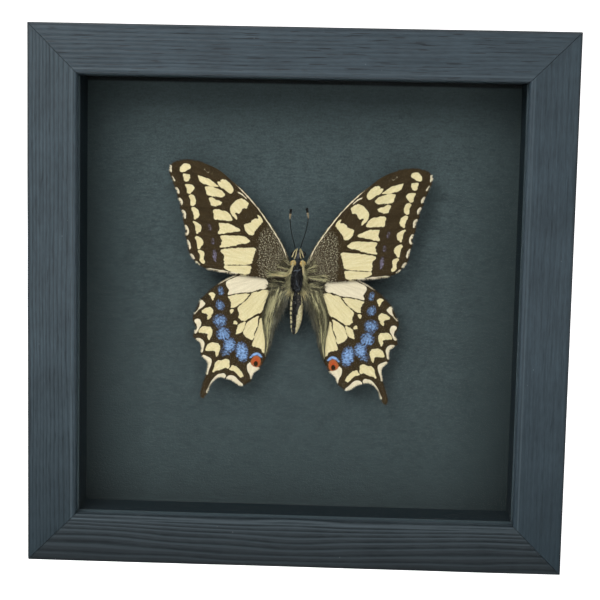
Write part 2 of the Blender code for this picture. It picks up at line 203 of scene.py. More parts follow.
def grid_faces(rows, columns, wrap=False):
    """Four-cornered faces between neighbours of a rows by columns grid, closed round if wrapped."""
    across = columns if wrap else columns - 1
    i, j = np.meshgrid(np.arange(rows - 1), np.arange(across), indexing="ij")
    k = (j + 1) % columns
    corners = [i * columns + j, i * columns + k, (i + 1) * columns + k, (i + 1) * columns + j]
    return np.stack(corners, axis=-1).reshape(-1, 4)


def tube_faces(rows, columns):
    """A closed tube of rings: faces between the rings, and one face over each end."""
    faces = grid_faces(rows, columns, wrap=True).tolist()
    faces.append(list(reversed(range(columns))))
    faces.append([(rows - 1) * columns + i for i in range(columns)])
    return faces


def store(mesh, name, values):
    """Keeps one number for each vertex under a name that the materials can read."""
    layer = mesh.attributes.new(name, "FLOAT", "POINT")
    layer.data.foreach_set("value", np.ascontiguousarray(values, dtype=np.float32).ravel())


def store_uv(mesh, u, v):
    """Gives each vertex a place (u, v) in millimetres in the piece's own UV map."""
    layer = mesh.uv_layers.new(name="surface")
    corner = np.empty(len(mesh.loops), dtype=np.int32)
    mesh.loops.foreach_get("vertex_index", corner)
    flat = np.stack([np.ravel(u)[corner], np.ravel(v)[corner]], axis=1)
    layer.data.foreach_set("uv", flat.astype(np.float32).ravel())


def soft_noise(x, y, seed):
    """Smooth noise from -1 to 1: random values at whole numbers, eased between the nearest four."""
    table = np.random.default_rng(seed).uniform(-1, 1, (128, 128))
    x, y = np.broadcast_arrays(x, y)
    column, row = np.floor(x).astype(int), np.floor(y).astype(int)
    s, t = x - column, y - row
    s, t = s * s * (3 - 2 * s), t * t * (3 - 2 * t)
    near = table[column % 128, row % 128] * (1 - s) + table[(column + 1) % 128, row % 128] * s
    far = table[column % 128, (row + 1) % 128] * (1 - s) + table[(column + 1) % 128, (row + 1) % 128] * s
    return near * (1 - t) + far * t


def step_between(low, high, value):
    """Rises smoothly from 0 at low to 1 at high, as three t squared less two t cubed."""
    t = np.clip((np.asarray(value) - low) / (high - low), 0, 1)
    return t * t * (3 - 2 * t)


print("helpers ready")

# %% Nodes in one line
class Nodes:
    """Builds one material's node tree. Each method adds a node and returns its output socket."""

    def __init__(self, name):
        self.material, self.tree = new_material(name)

    def add(self, kind, output=0, **inputs):
        """Adds a node. An input is a socket to link, or a value, by the input's name."""
        node = self.tree.nodes.new("ShaderNode" + kind)
        for key, value in inputs.items():
            self.put(node.inputs[key.replace("_", " ")], value)
        return node.outputs[output]

    def put(self, target, value):
        """Links a socket, or sets a value, with a colour's alpha filled in."""
        if isinstance(value, bpy.types.NodeSocket):
            self.tree.links.new(value, target)
        elif target.type == "RGBA":
            target.default_value = (*value, 1.0)
        else:
            target.default_value = value

    def math(self, operation, a, b=None, c=None):
        """One arithmetic step on one, two or three numbers."""
        node = self.tree.nodes.new("ShaderNodeMath")
        node.operation = operation
        for target, value in zip(node.inputs, (a, b, c)):
            if value is not None:
                self.put(target, value)
        return node.outputs[0]

    def between(self, value, low, high, start=0.0, end=1.0):
        """Carries a value from the range low to high over to start to end, clamped."""
        node = self.tree.nodes.new("ShaderNodeMapRange")
        for target, item in zip(node.inputs, (value, low, high, start, end)):
            self.put(target, item)
        return node.outputs[0]

    def swing(self, noise, depth):
        """Carries a noise's middle range, 0.3 to 0.7, over to minus depth to depth."""
        return self.between(noise, 0.3, 0.7, -depth, depth)

    def mix(self, share, a, b):
        """A colour a share of the way from a to b."""
        node = self.tree.nodes.new("ShaderNodeMix")
        node.data_type = "RGBA"
        self.put(node.inputs[0], share)
        self.put(node.inputs[6], a)
        self.put(node.inputs[7], b)
        return node.outputs[2]

    def noise(self, place, scale, detail=2.0, roughness=0.5, stretch=None):
        """A noise value at a place, after stretching the place along its axes if asked."""
        if stretch is not None:
            mapping = self.tree.nodes.new("ShaderNodeMapping")
            self.put(mapping.inputs["Vector"], place)
            mapping.inputs["Scale"].default_value = stretch
            place = mapping.outputs[0]
        return self.add("TexNoise", Vector=place, Scale=scale, Detail=detail, Roughness=roughness)

    def attribute(self, name):
        """A number kept on each vertex."""
        node = self.tree.nodes.new("ShaderNodeAttribute")
        node.attribute_name = name
        return node.outputs["Fac"]

    def here(self, source="Object"):
        """The place on the piece: its object coordinates, or its own UV map."""
        return self.tree.nodes.new("ShaderNodeTexCoord").outputs[source]

    def bump(self, height, strength, distance):
        """A normal from a height, distance being the height's full depth in metres."""
        return self.add("Bump", Strength=strength, Distance=distance, Height=height)

    def finish(self, **inputs):
        """Ends the tree in one Principled shader and returns the material."""
        shader = self.add("BsdfPrincipled", **inputs)
        output = self.tree.nodes.new("ShaderNodeOutputMaterial")
        self.tree.links.new(shader, output.inputs["Surface"])
        return self.material


print("node maker ready")

# %% [markdown]
# ## Brushed and stained softwood
#
# Softwood grows in bands: a wide soft one each spring and a narrow hard one each summer. A steel
# brush takes the soft wood away, so the hard bands stand up as fine ridges that run along each
# rail, and a thin black stain leaves them on show. Each board is cut elsewhere in the tree, so the
# ridges are strong on the lower rail, fine on the left and top ones and faint on the right one.
#
# The relief is real geometry. Only the fibres, finer than a tenth of a millimetre, are left to the
# material's bump, while its colour paints shade into the ridges' feet and highlights on their crests.

# %% The moulding's section
RAIL_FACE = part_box("rail_bottom")[1].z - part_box("rail_bottom")[0].z
BACK_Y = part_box("rail_bottom")[1].y
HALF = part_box("rail_right")[1].x  # half the frame's width
PANE_GAP = 0.5 * MM  # from the pane's edge to the rebate's wall
LIP_GAP = 0.15 * MM  # from the lip's back to the pane
MITRE_GAP = 0.16 * MM  # between two rails' ends, where it shows as a dark line
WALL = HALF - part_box("glass_pane")[1].x - PANE_GAP
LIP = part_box("glass_pane")[0].y - FRONT_Y - LIP_GAP
DEPTH = BACK_Y - FRONT_Y
OUTER_ARRIS = 0.5 * MM
INNER_ARRIS = 0.9 * MM


def straight_run(start, end, spacing):
    """Points from start up to but not including end, about a spacing apart."""
    start, end = np.array(start, float), np.array(end, float)
    steps = max(1, round(np.linalg.norm(end - start) / spacing))
    share = np.arange(steps)[:, None] / steps
    return start + (end - start) * share


def round_run(centre, radius, start, end, steps):
    """Points on an arc, without its last one. Angles are in degrees."""
    angle = np.radians(start + (end - start) * np.arange(steps) / steps)
    return np.array(centre) + radius * np.stack([np.cos(angle), np.sin(angle)], axis=1)


def moulding_section():
    """The closed section as (inward, depth) points, from the back's outer corner over the face."""
    o, i = OUTER_ARRIS, INNER_ARRIS
    runs = [
        straight_run((0, DEPTH), (0, o), 0.5 * MM),
        round_run((o, o), o, 180, 270, 6),
        straight_run((o, 0), (RAIL_FACE - i, 0), 0.15 * MM),
        round_run((RAIL_FACE - i, i), i, 270, 360, 8),
        straight_run((RAIL_FACE, i), (RAIL_FACE, LIP), 0.3 * MM),
        straight_run((RAIL_FACE, LIP), (WALL, LIP), 0.8 * MM),
        straight_run((WALL, LIP), (WALL, DEPTH), 1.2 * MM),
        straight_run((WALL, DEPTH), (0, DEPTH), 0.5 * MM),
    ]
    return np.concatenate(runs)


SECTION = moulding_section()
print("the section has", len(SECTION), "points round it")


# %% Ridges along a rail
def section_normals(section):
    """Unit normals of the closed section: the chord between neighbours, turned to face outwards."""
    chord = np.roll(section, -1, axis=0) - np.roll(section, 1, axis=0)
    normal = np.stack([chord[:, 1], -chord[:, 0]], axis=1)
    return normal / np.linalg.norm(normal, axis=1, keepdims=True)


def grain_relief(along, across, pitch, uneven, seed):
    """The ridges' height from 0 to 1. Across the rail, the phase grows by one for each ridge, with
    a slow wander along the rail, and the bands' widths differ by the uneven share. In each band the
    height climbs slowly and drops steeply, and each ridge has its own strength, which fades in and
    out along its length. The second result is a narrow bell on each ridge's brow, where the stain
    is given a painted highlight along the crests."""
    wander = 0.9 * soft_noise(along / 70, across / 9, seed)
    wander = wander + 0.22 * soft_noise(along / 17, across / 5, seed + 1)
    phase = across / pitch + wander + uneven * soft_noise(across / 3.1, along / 300, seed + 2)
    band = np.floor(phase)
    share = phase - band
    rise = step_between(0.0, 0.62, share) * (1 - step_between(0.72, 1.0, share))
    own = 0.74 + 0.26 * soft_noise(band * 7.3, along / 28, seed + 3)
    crest = 0.7 + 0.5 * soft_noise(band * 5.1, along / 20, seed + 4)
    crest = np.exp(-((share - 0.70) / 0.10) ** 2) * crest
    return rise * own, crest


def wood_rail(name, direction, pitch, uneven, strength, seed):
    """One rail. Its points are section(s) + height(s, x) * normal(s), and x runs between the two
    mitres, whose places depend on how far inward the point lies. The direction says which side."""
    normals = section_normals(SECTION)
    steps = np.linalg.norm(np.roll(SECTION, -1, axis=0) - SECTION, axis=1)
    across = (np.concatenate([[0], np.cumsum(steps)[:-1]]) / MM)[None, :]
    share = np.linspace(-1, 1, 280)[:, None]
    along = share * (HALF - SECTION[None, :, 0]) / MM
    ridge, crest = grain_relief(along, across, pitch, uneven, seed)
    shown = (SECTION[:, 0] < RAIL_FACE - 1e-6) & ((SECTION[:, 1] < LIP - 1e-6) | (SECTION[:, 0] < 1e-6))
    calm = np.where(SECTION[:, 0] > RAIL_FACE - INNER_ARRIS * 1.6, 0.25, 1.0) * shown
    height = (ridge - 0.7) * strength * MM * calm[None, :]
    inward = SECTION[None, :, 0] + height * normals[None, :, 0]
    depth = SECTION[None, :, 1] + height * normals[None, :, 1]
    x = share * (HALF - inward - MITRE_GAP / 2)
    up = HALF - inward
    turned = {
        "bottom": (x, -up), "top": (-x, up), "right": (up, x), "left": (-up, -x),
    }[direction]
    points = np.stack([turned[0], FRONT_Y + depth, CENTRE_Z + turned[1]], axis=-1)
    rows, columns = share.shape[0], SECTION.shape[0]
    faces = [face[::-1] for face in tube_faces(rows, columns)]
    made = add_piece(name, points.reshape(-1, 3), faces, WOOD[direction], [name])
    store(made.data, "ridge", ridge)
    store(made.data, "crest", crest)
    store_uv(made.data, along + np.zeros_like(ridge), across + np.zeros_like(ridge))
    made.data.set_sharp_from_angle(angle=math.radians(50))
    return made


# %% The stain
def stained_wood(name, shade, feet, crests, streaks, pores, shine, fall=0.0, low_end=0):
    """Thin black stain over the ridges. Their feet are painted darker, as shade in the grooves, and
    their crests paler, as a painted highlight, by the two shares feet and crests. Long streaks, fibres
    and short open pores run along the grain. The outer arris is darker, the inner one is painted paler
    as a highlight, and a few pale motes lie on the wood. The colour darkens towards the outer edge by
    the share fall, and towards the low end, 1 or -1, where the shine drops too: both are painted shade."""
    n = Nodes(name)
    place = n.here("UV")
    ridge = n.attribute("ridge")
    streak = n.noise(place, 1.0, 3.0, 0.55, stretch=(0.045, 1.5, 1.0))
    fibre = n.noise(place, 1.0, 2.0, 0.6, stretch=(0.35, 2.4, 1.0))
    pore = n.noise(place, 1.0, 1.0, 0.5, stretch=(0.11, 2.1, 1.0))
    cloud = n.noise(place, 0.10, 2.0, 0.5)
    tone = n.swing(streak, streaks)
    tone = n.math("ADD", tone, n.swing(fibre, 0.14))
    tone = n.math("ADD", tone, n.swing(cloud, 0.12))
    # Painted shade: the ridges' feet are darker, as if shaded in the grooves.
    tone = n.math("ADD", tone, n.between(ridge, 0.0, 0.28, -feet, 0.0))
    # Painted highlight: the ridges' crests are paler.
    tone = n.math("MULTIPLY_ADD", n.attribute("crest"), crests, tone)
    tone = n.math("SUBTRACT", tone, n.between(pore, 0.64, 0.69, 0.0, pores))
    dark, light = (tuple(np.multiply(shade, stain).tolist()) for stain in (STAIN_DARK, STAIN_LIGHT))
    colour = n.mix(n.between(tone, -0.6, 0.6), dark, light)
    split = n.add("SeparateXYZ", output="Y", Vector=place)
    depth = (DEPTH - OUTER_ARRIS) / MM
    face_start = n.math("SUBTRACT", split, depth)
    edge = n.between(n.math("ABSOLUTE", face_start), 0.3, 1.3, 0.35, 1.0)
    colour = n.mix(edge, tuple(0.25 * v for v in dark), colour)
    # Painted shade: the colour darkens towards the rail's outer edge.
    if fall:
        lower = n.between(face_start, 0.5, RAIL_FACE / MM, fall, 0.0)
        colour = n.mix(lower, colour, tuple(0.8 * v for v in dark))
    # Painted shade: the colour darkens, and the shine drops, towards the rail's low end.
    if low_end:
        along = n.math("MULTIPLY", n.add("SeparateXYZ", output="X", Vector=place), low_end)
        colour = n.mix(n.between(along, 12.0, 72.0, 0.0, 0.5), colour, tuple(0.8 * v for v in dark))
        shine = n.between(along, 0.0, 70.0, shine, 0.3 * shine)
    # Painted highlight: the inner arris is painted paler, as where it catches the light.
    inner = n.math("ABSOLUTE", n.math("SUBTRACT", face_start, (RAIL_FACE - INNER_ARRIS) / MM - 0.1))
    colour = n.mix(n.between(inner, 0.05, 0.35, 0.22, 0.0), colour, INNER_ARRIS_HIGHLIGHT)
    mote = n.add("TexVoronoi", Vector=place, Scale=0.20, Randomness=1.0)
    colour = n.mix(n.between(mote, 0.02, 0.035, 0.5, 0.0), colour, (0.16, 0.18, 0.19))
    height = n.math("ADD", n.math("MULTIPLY", fibre, 0.6), n.math("MULTIPLY", pore, -0.5))
    normal = n.bump(height, 0.4, 0.00008)
    rough = n.between(streak, 0.3, 0.7, 0.44, 0.60)
    return n.finish(Base_Color=colour, Roughness=rough, Normal=normal, Specular_IOR_Level=shine)


STAIN_DARK = (0.006, 0.013, 0.018)
STAIN_LIGHT = (0.050, 0.080, 0.100)
# The colour of the inner arris's painted highlight.
INNER_ARRIS_HIGHLIGHT = (0.10, 0.135, 0.155)
# The first tuple in each rail's row is painted shade: it darkens and tints each rail by its own amount, the
# lower rail most.
WOOD = {
    "top": stained_wood("stain, top rail", (0.75, 0.76, 0.78), 0.12, 0.04, 0.14, 0.95, 0.42),
    "left": stained_wood("stain, left rail", (0.89, 0.87, 0.86), 0.40, 0.04, 0.12, 0.3, 0.40, low_end=1),
    "right": stained_wood("stain, right rail", (0.80, 0.80, 0.81), 0.10, 0.03, 0.14, 0.2, 0.36, low_end=-1),
    "bottom": stained_wood("stain, lower rail", (0.68, 0.58, 0.54), 0.40, 1.8, 0.12, 0.2, 0.12, fall=0.68),
}
# Each rail: its side, the ridges' pitch in mm, how unevenly they are spaced, their height, a seed.
RAILS = {
    "rail_top": ("top", 1.25, 0.55, 0.07, 11),
    "rail_left": ("left", 1.15, 0.50, 0.09, 23),
    "rail_right": ("right", 1.3, 0.50, 0.03, 37),
    "rail_bottom": ("bottom", 1.55, 0.30, 0.16, 41),
}
for name, (direction, pitch, uneven, strength, seed) in RAILS.items():
    rail = wood_rail(name, direction, pitch, uneven, strength, seed)
    print(name, len(rail.data.polygons), "faces, ridges", strength, "mm high")

# %% [markdown]
# ## Glass, card and the black strips
#
# The pane is low-glare glass: nearly everything passes and only a slanting look mirrors the room.
# A Transparent shader and a Glossy one are mixed by Fresnel, so that light reaches the butterfly
# without the noise of true refraction. The card is dark, matt and slightly mottled, with short
# fibres pressed into it.

# %% Finishes behind the moulding
GLASS_TINT = (0.985, 0.99, 0.988)
COATED_IOR = 1.08  # the coating leaves little of what plain glass, at 1.5, would mirror


def low_glare_glass():
    """Clear pane: Transparent with a Glossy share from Fresnel at a low IOR, as a coating gives."""
    n = Nodes("low-glare glass")
    clear = n.add("BsdfTransparent", Color=GLASS_TINT)
    mirror = n.add("BsdfGlossy", Color=(1, 1, 1), Roughness=0.02)
    node = n.tree.nodes.new("ShaderNodeMixShader")
    n.put(node.inputs[0], n.add("Fresnel", IOR=COATED_IOR))
    n.put(node.inputs[1], clear)
    n.put(node.inputs[2], mirror)
    output = n.tree.nodes.new("ShaderNodeOutputMaterial")
    n.tree.links.new(node.outputs[0], output.inputs["Surface"])
    return n.material


CARD_DARK = (0.017, 0.028, 0.030)
CARD_LIGHT = (0.064, 0.090, 0.094)


def mount_card():
    """Slate card: cloudy tone, a tooth under a millimetre wide, and fibres that lie mostly level.
    It is painted paler towards the top as painted light, darker below and at the sides as painted
    shade, and black in a thin band under the upper strip as a painted shadow."""
    n = Nodes("slate mount card")
    place = n.here()
    cloud = n.noise(place, 240.0, 3.0, 0.6)
    tooth = n.noise(place, 1900.0, 2.0, 0.6)
    fibre = n.noise(place, 1300.0, 2.0, 0.6, stretch=(0.42, 1.0, 1.5))
    tone = n.math("ADD", n.swing(cloud, 0.16), n.swing(tooth, 0.38))
    tone = n.math("ADD", tone, n.swing(fibre, 0.33))
    colour = n.mix(n.between(tone, -0.9, 0.9), CARD_DARK, CARD_LIGHT)
    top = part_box("spacer_top")[0].z
    upright = n.add("SeparateXYZ", output="Z", Vector=place)
    sideways = n.math("ABSOLUTE", n.add("SeparateXYZ", output="X", Vector=place))
    # Painted light: paler towards the top.
    colour = n.mix(n.between(upright, CENTRE_Z + 25 * MM, top, 0.0, 0.3), colour, CARD_LIGHT)
    # Painted shade: darker below and towards the sides.
    lower = n.between(upright, CENTRE_Z - 50 * MM, CENTRE_Z + 20 * MM, 0.4, 0.0)
    outer = n.between(sideways, HALF - 33 * MM, HALF - 14 * MM, 0.0, 0.6)
    colour = n.mix(n.math("ADD", lower, outer), colour, CARD_DARK)
    # Painted shadow: a black band just under the upper strip.
    colour = n.mix(n.between(upright, top - 1.4 * MM, top - 0.9 * MM), colour, (0.002, 0.003, 0.0035))
    normal = n.bump(n.math("ADD", tooth, fibre), 0.5, 0.00012)
    return n.finish(Base_Color=colour, Roughness=0.85, Normal=normal, Specular_IOR_Level=0.3)


def black_board():
    """Black faced board, painted a little lighter where its cut front edge shows, as a painted highlight.
    """
    n = Nodes("black board")
    place = n.here()
    grain = n.noise(place, 1500.0, 2.0, 0.6)
    front = n.add("SeparateXYZ", output="Y", Vector=place)
    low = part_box("spacer_top")[0].y
    # Painted highlight: the front edge is lighter than the dark walls behind it.
    edge = n.between(front, low + 0.45 * MM, low + 0.8 * MM, 1.0, 0.0)
    colour = n.mix(edge, (0.0095, 0.017, 0.021), (0.060, 0.082, 0.094))
    normal = n.bump(grain, 0.3, 0.00004)
    return n.finish(Base_Color=colour, Roughness=0.8, Normal=normal, Specular_IOR_Level=0.08)


def dress(name, finish):
    """Gives a CAD node its finish and leaves its shape alone."""
    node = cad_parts[name]
    node.data.materials.clear()
    node.data.materials.append(finish)


BLACK_BOARD = black_board()
dress("glass_pane", low_glare_glass())
dress("backing_card", mount_card())
for side in ("top", "bottom", "left", "right"):
    dress("spacer_" + side, BLACK_BOARD)
print("pane, card and four strips are dressed")

# %% [markdown]
# ## The wings' plan
#
# A swallowtail's wing is a clear membrane stretched on stiff veins and shingled with coloured scales.
# Its outline is too wild for two tidy parameters, with its scallops and a tail, so the sheet is an even
# grid trimmed to shape, like paper cut with scissors. The outline and each marking are short lists
# of places on one wing, in millimetres outward from the body and up from the frame's centre. Both
# sides use the same lists, mirrored, and each wing was set at its own small turn and shift.

# %% Where the specimen lies
CARD_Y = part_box("backing_card")[0].y
BODY_X = (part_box("thorax")[0].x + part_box("thorax")[1].x) / 2
WING_ROOT = np.array([2.2, 8.0])
FOREWING_HEIGHT = 4.9
HINDWING_HEIGHT = 4.3


def specimen(x, up, height):
    """World places from millimetres right of the body, up from the centre and off the card."""
    x, up, height = np.broadcast_arrays(x, up, height)
    return np.stack([BODY_X + x * MM, CARD_Y - height * MM, CENTRE_Z + up * MM], axis=-1)


# How each wing was set: side, turn in degrees about its root, shift outward and up.
SETTING = {
    "forewing_left": (-1, 0.0, (0.0, 0.0)),
    "forewing_right": (1, -1.0, (0.5, -0.6)),
    "hindwing_left": (-1, 0.0, (0.0, 0.0)),
    "hindwing_right": (1, -0.2, (-0.2, -0.5)),
}


def set_wing(places, wing):
    """Turns flat places about the wing's root, shifts them and mirrors them to the wing's side."""
    side, turn, shift = SETTING[wing]
    c, s = math.cos(math.radians(turn)), math.sin(math.radians(turn))
    turned = (places - WING_ROOT) @ np.array([[c, s], [-s, c]]) + WING_ROOT + np.array(shift)
    return side * turned[:, 0], turned[:, 1]


print("the body's axis is at x =", round(BODY_X / MM, 2), "mm")

# %% The forewing's outline, veins and cream patches
FOREWING_OUTLINE = [
    (2, 9.1), (2.3, 11), (3.5, 14), (6.05, 18.4), (9.15, 22.9), (11.85, 26.15), (15.7, 30.3),
    (18.8, 32.7), (21.5, 35), (24.3, 36.6), (28.2, 37.85), (32, 38.2), (34.9, 37.5), (35.9, 36.8),
    (36.2, 36), (36.2, 34.4), (35.3, 32.4), (34.9, 31.3), (34, 29.4), (34, 28.2), (33.1, 26.5),
    (33.1, 24.9), (32.2, 23.2), (32.2, 21.2), (31.4, 19), (31.5, 17), (30.8, 15), (30.7, 13), (29.9, 11.5),
    (28.8, 10), (27.6, 9), (26.7, 8.5), (25.1, 7.7), (20.2, 6.9), (16.3, 6.4), (8, 5.6), (2, 6),
]
FOREWING_VEINS = [
    [(2.3, 9), (5.3, 15), (9.6, 21), (13.4, 26), (17.2, 29.4), (22.2, 32.9), (27, 35.5), (32.5, 37.9)],
    [(17.2, 29), (19.2, 26.8), (19.5, 25), (18.6, 22.9), (16, 19.8), (12, 15), (7, 11.6), (2.3, 8)],
    [(18.5, 28.9), (22.4, 31.4), (25, 33.4), (28.5, 34.6), (33, 34.7), (36, 34.4)],
    [(19, 28), (22.8, 30.9), (26.3, 31.3), (31.6, 31.8), (34.9, 31.4)],
    [(19.5, 26.3), (21.5, 27.6), (25.2, 28.2), (30, 28.7), (34, 28.2)],
    [(19.4, 24.8), (22.6, 25.1), (29.5, 25.1), (33.1, 24.9)],
    [(17.3, 21.1), (23.2, 21.4), (28.8, 21.3), (32.1, 21.1)],
    [(14.6, 17.8), (22, 17.5), (28, 17.1), (31.4, 16.8)],
    [(11.5, 14.6), (16, 14.5), (21.6, 13.6), (26.9, 13), (30.6, 12.7)],
    [(2.6, 6.8), (8, 8), (13, 9), (20.4, 8.65), (26, 8.9), (28.8, 10)],
]
FOREWING_CREAM = [
    [(30.4, 36.4), (31.1, 37.1), (32.4, 37.2), (33.1, 36.4), (33.4, 35.5), (33, 35), (31.9, 35.1),
     (30.9, 35.7)],
    [(30.4, 33.4), (30.9, 34.1), (32.4, 34.3), (32.5, 33.3), (32.2, 32.5), (31.5, 32.2), (30.8, 32.7)],
    [(29.4, 30.2), (29.9, 31.2), (30.9, 31.5), (31.9, 31.4), (31.4, 30.2), (31.2, 29), (30.2, 29.1)],
    [(28.7, 26.7), (29.1, 27.8), (29.8, 28.4), (30.9, 28.2), (30.4, 26.9), (30.2, 25.5), (29.3, 25.7)],
    [(27.8, 23.5), (28.4, 24.6), (29.9, 24.9), (29.5, 23.6), (29.3, 21.8), (28.6, 21.8), (27.9, 22.5)],
    [(27.1, 19), (27.4, 20), (28.3, 20.7), (29.4, 20.9), (28.8, 19.3), (28.6, 17.5), (27.6, 18.1)],
    [(26.6, 15.3), (27.2, 16.4), (28.8, 16.8), (28.4, 15.2), (28.1, 13.4), (27.1, 14)],
    [(28, 12.8), (26.9, 12.8), (26.2, 12.1), (26.4, 11), (26, 9.8), (26.3, 9.2), (27, 9.5), (27.6, 10.3),
     (27.4, 11.7)],
    [(18.2, 30.6), (19.9, 32.4), (21.3, 33.1), (21.9, 32.9), (22, 32.3), (22.8, 32.1), (22.1, 31),
     (20.7, 30.2), (19, 29.2)],
    [(22.5, 30.9), (23.4, 31.7), (24.9, 32.9), (26.5, 33.6), (28.2, 34), (28.2, 33.3), (27.8, 32.3),
     (26.5, 31.6), (24.5, 31.1)],
    [(20.6, 28.9), (21.5, 29.8), (23.2, 30.6), (26.1, 30.9), (25.9, 29.6), (25.5, 28.5), (23.4, 28.2),
     (21.3, 28.1)],
    [(21.4, 26.4), (21.9, 26.9), (23.4, 27.5), (25, 27.9), (24.6, 26.5), (24.5, 25.7), (23.8, 25.5),
     (22.4, 25.7)],
    [(18.5, 22), (19.1, 23.2), (20.3, 24), (22.2, 24.5), (23.9, 24.5), (23.7, 23.1), (23.4, 21.9),
     (21.1, 21.6), (19, 21.4)],
    [(16.2, 18.8), (17.2, 19.7), (19.5, 20.6), (22.3, 20.9), (22.2, 19.9), (22, 19.2), (22.4, 17.8),
     (20.5, 17.9), (17.7, 18.4)],
    [(13.5, 15.6), (14.4, 16.8), (15.3, 17.2), (18.6, 17.3), (21.7, 17.1), (21.3, 15.9), (21.5, 14.7),
     (21.7, 13.9), (18.6, 14.3), (16, 15)],
    [(11.7, 13.4), (12.1, 14), (14.9, 13.9), (18.1, 13.8), (21.5, 13.3), (20.6, 11.6), (20.6, 10),
     (20.2, 9), (16.3, 9.1), (13, 9.5), (12.4, 11.2)],
    [(13, 8.8), (16.3, 8.9), (20.2, 8.9), (20.5, 8.3), (19.8, 7.5), (18.1, 6.8), (14.9, 6.4),
     (13.5, 6.7), (13.1, 7.5)],
    [(13.9, 26.4), (14.7, 27.2), (15.9, 27.8), (17, 27.5), (18.2, 26.5), (18.9, 25.6), (19.2, 24.6),
     (18.9, 23.6), (18, 22.5), (17.4, 21.9), (17, 22.1), (17.3, 23.1), (17.6, 23.9), (16.6, 23.6),
     (16.1, 24.2), (15.5, 25), (14.6, 25), (14.2, 25.8)],
    [(9.9, 21.8), (10.3, 22.6), (11.3, 23.2), (11.2, 22.3), (12, 22.3), (12.8, 21.8), (13.3, 21),
     (15, 20.5), (14.8, 19.3), (14.1, 18.1), (12.9, 17.4), (12.1, 18.4), (11.4, 19.5), (10, 21.1)],
]
FOREWING_WHITE_LINES = [
    (0.5, [(35.9, 36.7), (36, 35.7), (35.9, 34.7)]),
    (0.42, [(35.7, 33.8), (35.2, 33), (34.8, 32.2)]),
    (0.42, [(34.5, 30.7), (33.8, 29.6), (33.7, 28.6)]),
    (0.48, [(33.5, 27.7), (32.8, 26.5), (32.8, 25.5)]),
    (0.55, [(32.6, 24.3), (31.9, 23.4), (31.8, 22.4), (31.9, 21.6)]),
    (0.6, [(31.7, 20), (31.1, 19), (30.9, 18.1), (31.3, 17.1)]),
    (0.55, [(31.3, 16), (30.6, 14.9), (30.3, 13.9), (30.4, 13)]),
    (0.48, [(30.1, 12), (29.4, 11.2), (28.9, 10.4)]),
    (0.4, [(28.7, 9.9), (28, 9.3), (27.2, 8.8)]),
    (0.22, [(2.5, 9.4), (3.85, 13.8), (6.4, 18.2), (9.4, 22.6), (12, 25.9), (15.8, 30), (19.2, 32.7)]),
    (0.25, [(14.4, 27.6), (15.8, 28.9), (17.2, 29.7)]),
    (0.3, [(25.6, 8), (22.5, 7.5), (16.3, 6.6)]),
]
print(len(FOREWING_CREAM), "cream patches on a forewing")

# %% The hindwing's outline, veins and markings
HINDWING_OUTLINE = [
    (2.4, 4.6), (5, 6.8), (10, 7.6), (14, 7.3), (17.9, 5.8), (21.5, 3.8), (23.8, 2.2), (25.8, 0.2),
    (27.1, -1.2), (27.9, -3), (29, -5.4), (29.2, -6.3), (28.9, -7.9), (28.3, -9), (28.9, -11.1),
    (29.1, -11.8), (28.6, -12.2), (27.4, -13.1), (26.9, -13.8), (26.7, -15.1), (26.8, -16.6), (26.4, -17.3),
    (25.15, -18.6), (24.7, -19.4), (24.8, -20.6), (25.2, -22.7), (25.9, -24.5), (26.7, -27.2),
    (26.85, -28.4), (26.4, -29.4), (25.8, -29.15), (25.05, -27.8), (24.4, -25.9), (23.8, -24.9),
    (23, -24), (22.1, -23.4), (20.9, -23.2), (19.4, -23.6), (18.2, -23.9), (17.3, -24.5), (16.3, -25.2),
    (15.3, -25.6), (14.4, -25.3), (13, -24.3), (12.6, -23.8), (12.1, -22.2), (11.3, -21.3),
    (10.3, -20.5), (9.6, -19.2), (8.1, -16.6), (7.4, -13.6), (6.9, -10), (5.8, -6), (4.2, -2),
    (2.4, 1), (1.8, 2.6),
]
HINDWING_VEINS = [
    [(3, 3.6), (7.5, 2.5), (10.4, 2.1), (12.3, 1.3), (13.8, -0.7), (16.7, -3.1), (20, -4.7), (24, -7.2),
     (28.8, -8)],
    [(12.9, 1.2), (15, 1), (17.1, 0.75), (19.2, 0.2), (23, -0.4), (26.6, -1)],
    [(16.7, -3.1), (16.4, -5), (16.8, -7.2), (19.5, -12), (23, -18), (25.2, -23), (26.4, -28.6)],
    [(17.5, -3.4), (21, -2.6), (25, -2.6), (28, -3.6)],
    [(3, 2.2), (6, -0.6), (9.4, -4), (12, -5.6), (13.9, -6.9), (16.8, -7.2), (22, -9.6), (28.6, -12.2)],
    [(14, -7.2), (15, -9.9), (19.5, -13.5), (24.8, -19)],
    [(10.4, -5.5), (10.8, -8.2), (12.3, -12.8), (14.6, -18), (19.4, -23.6)],
    [(4, 0), (7.4, -5), (8.2, -12), (9.6, -17)],
]
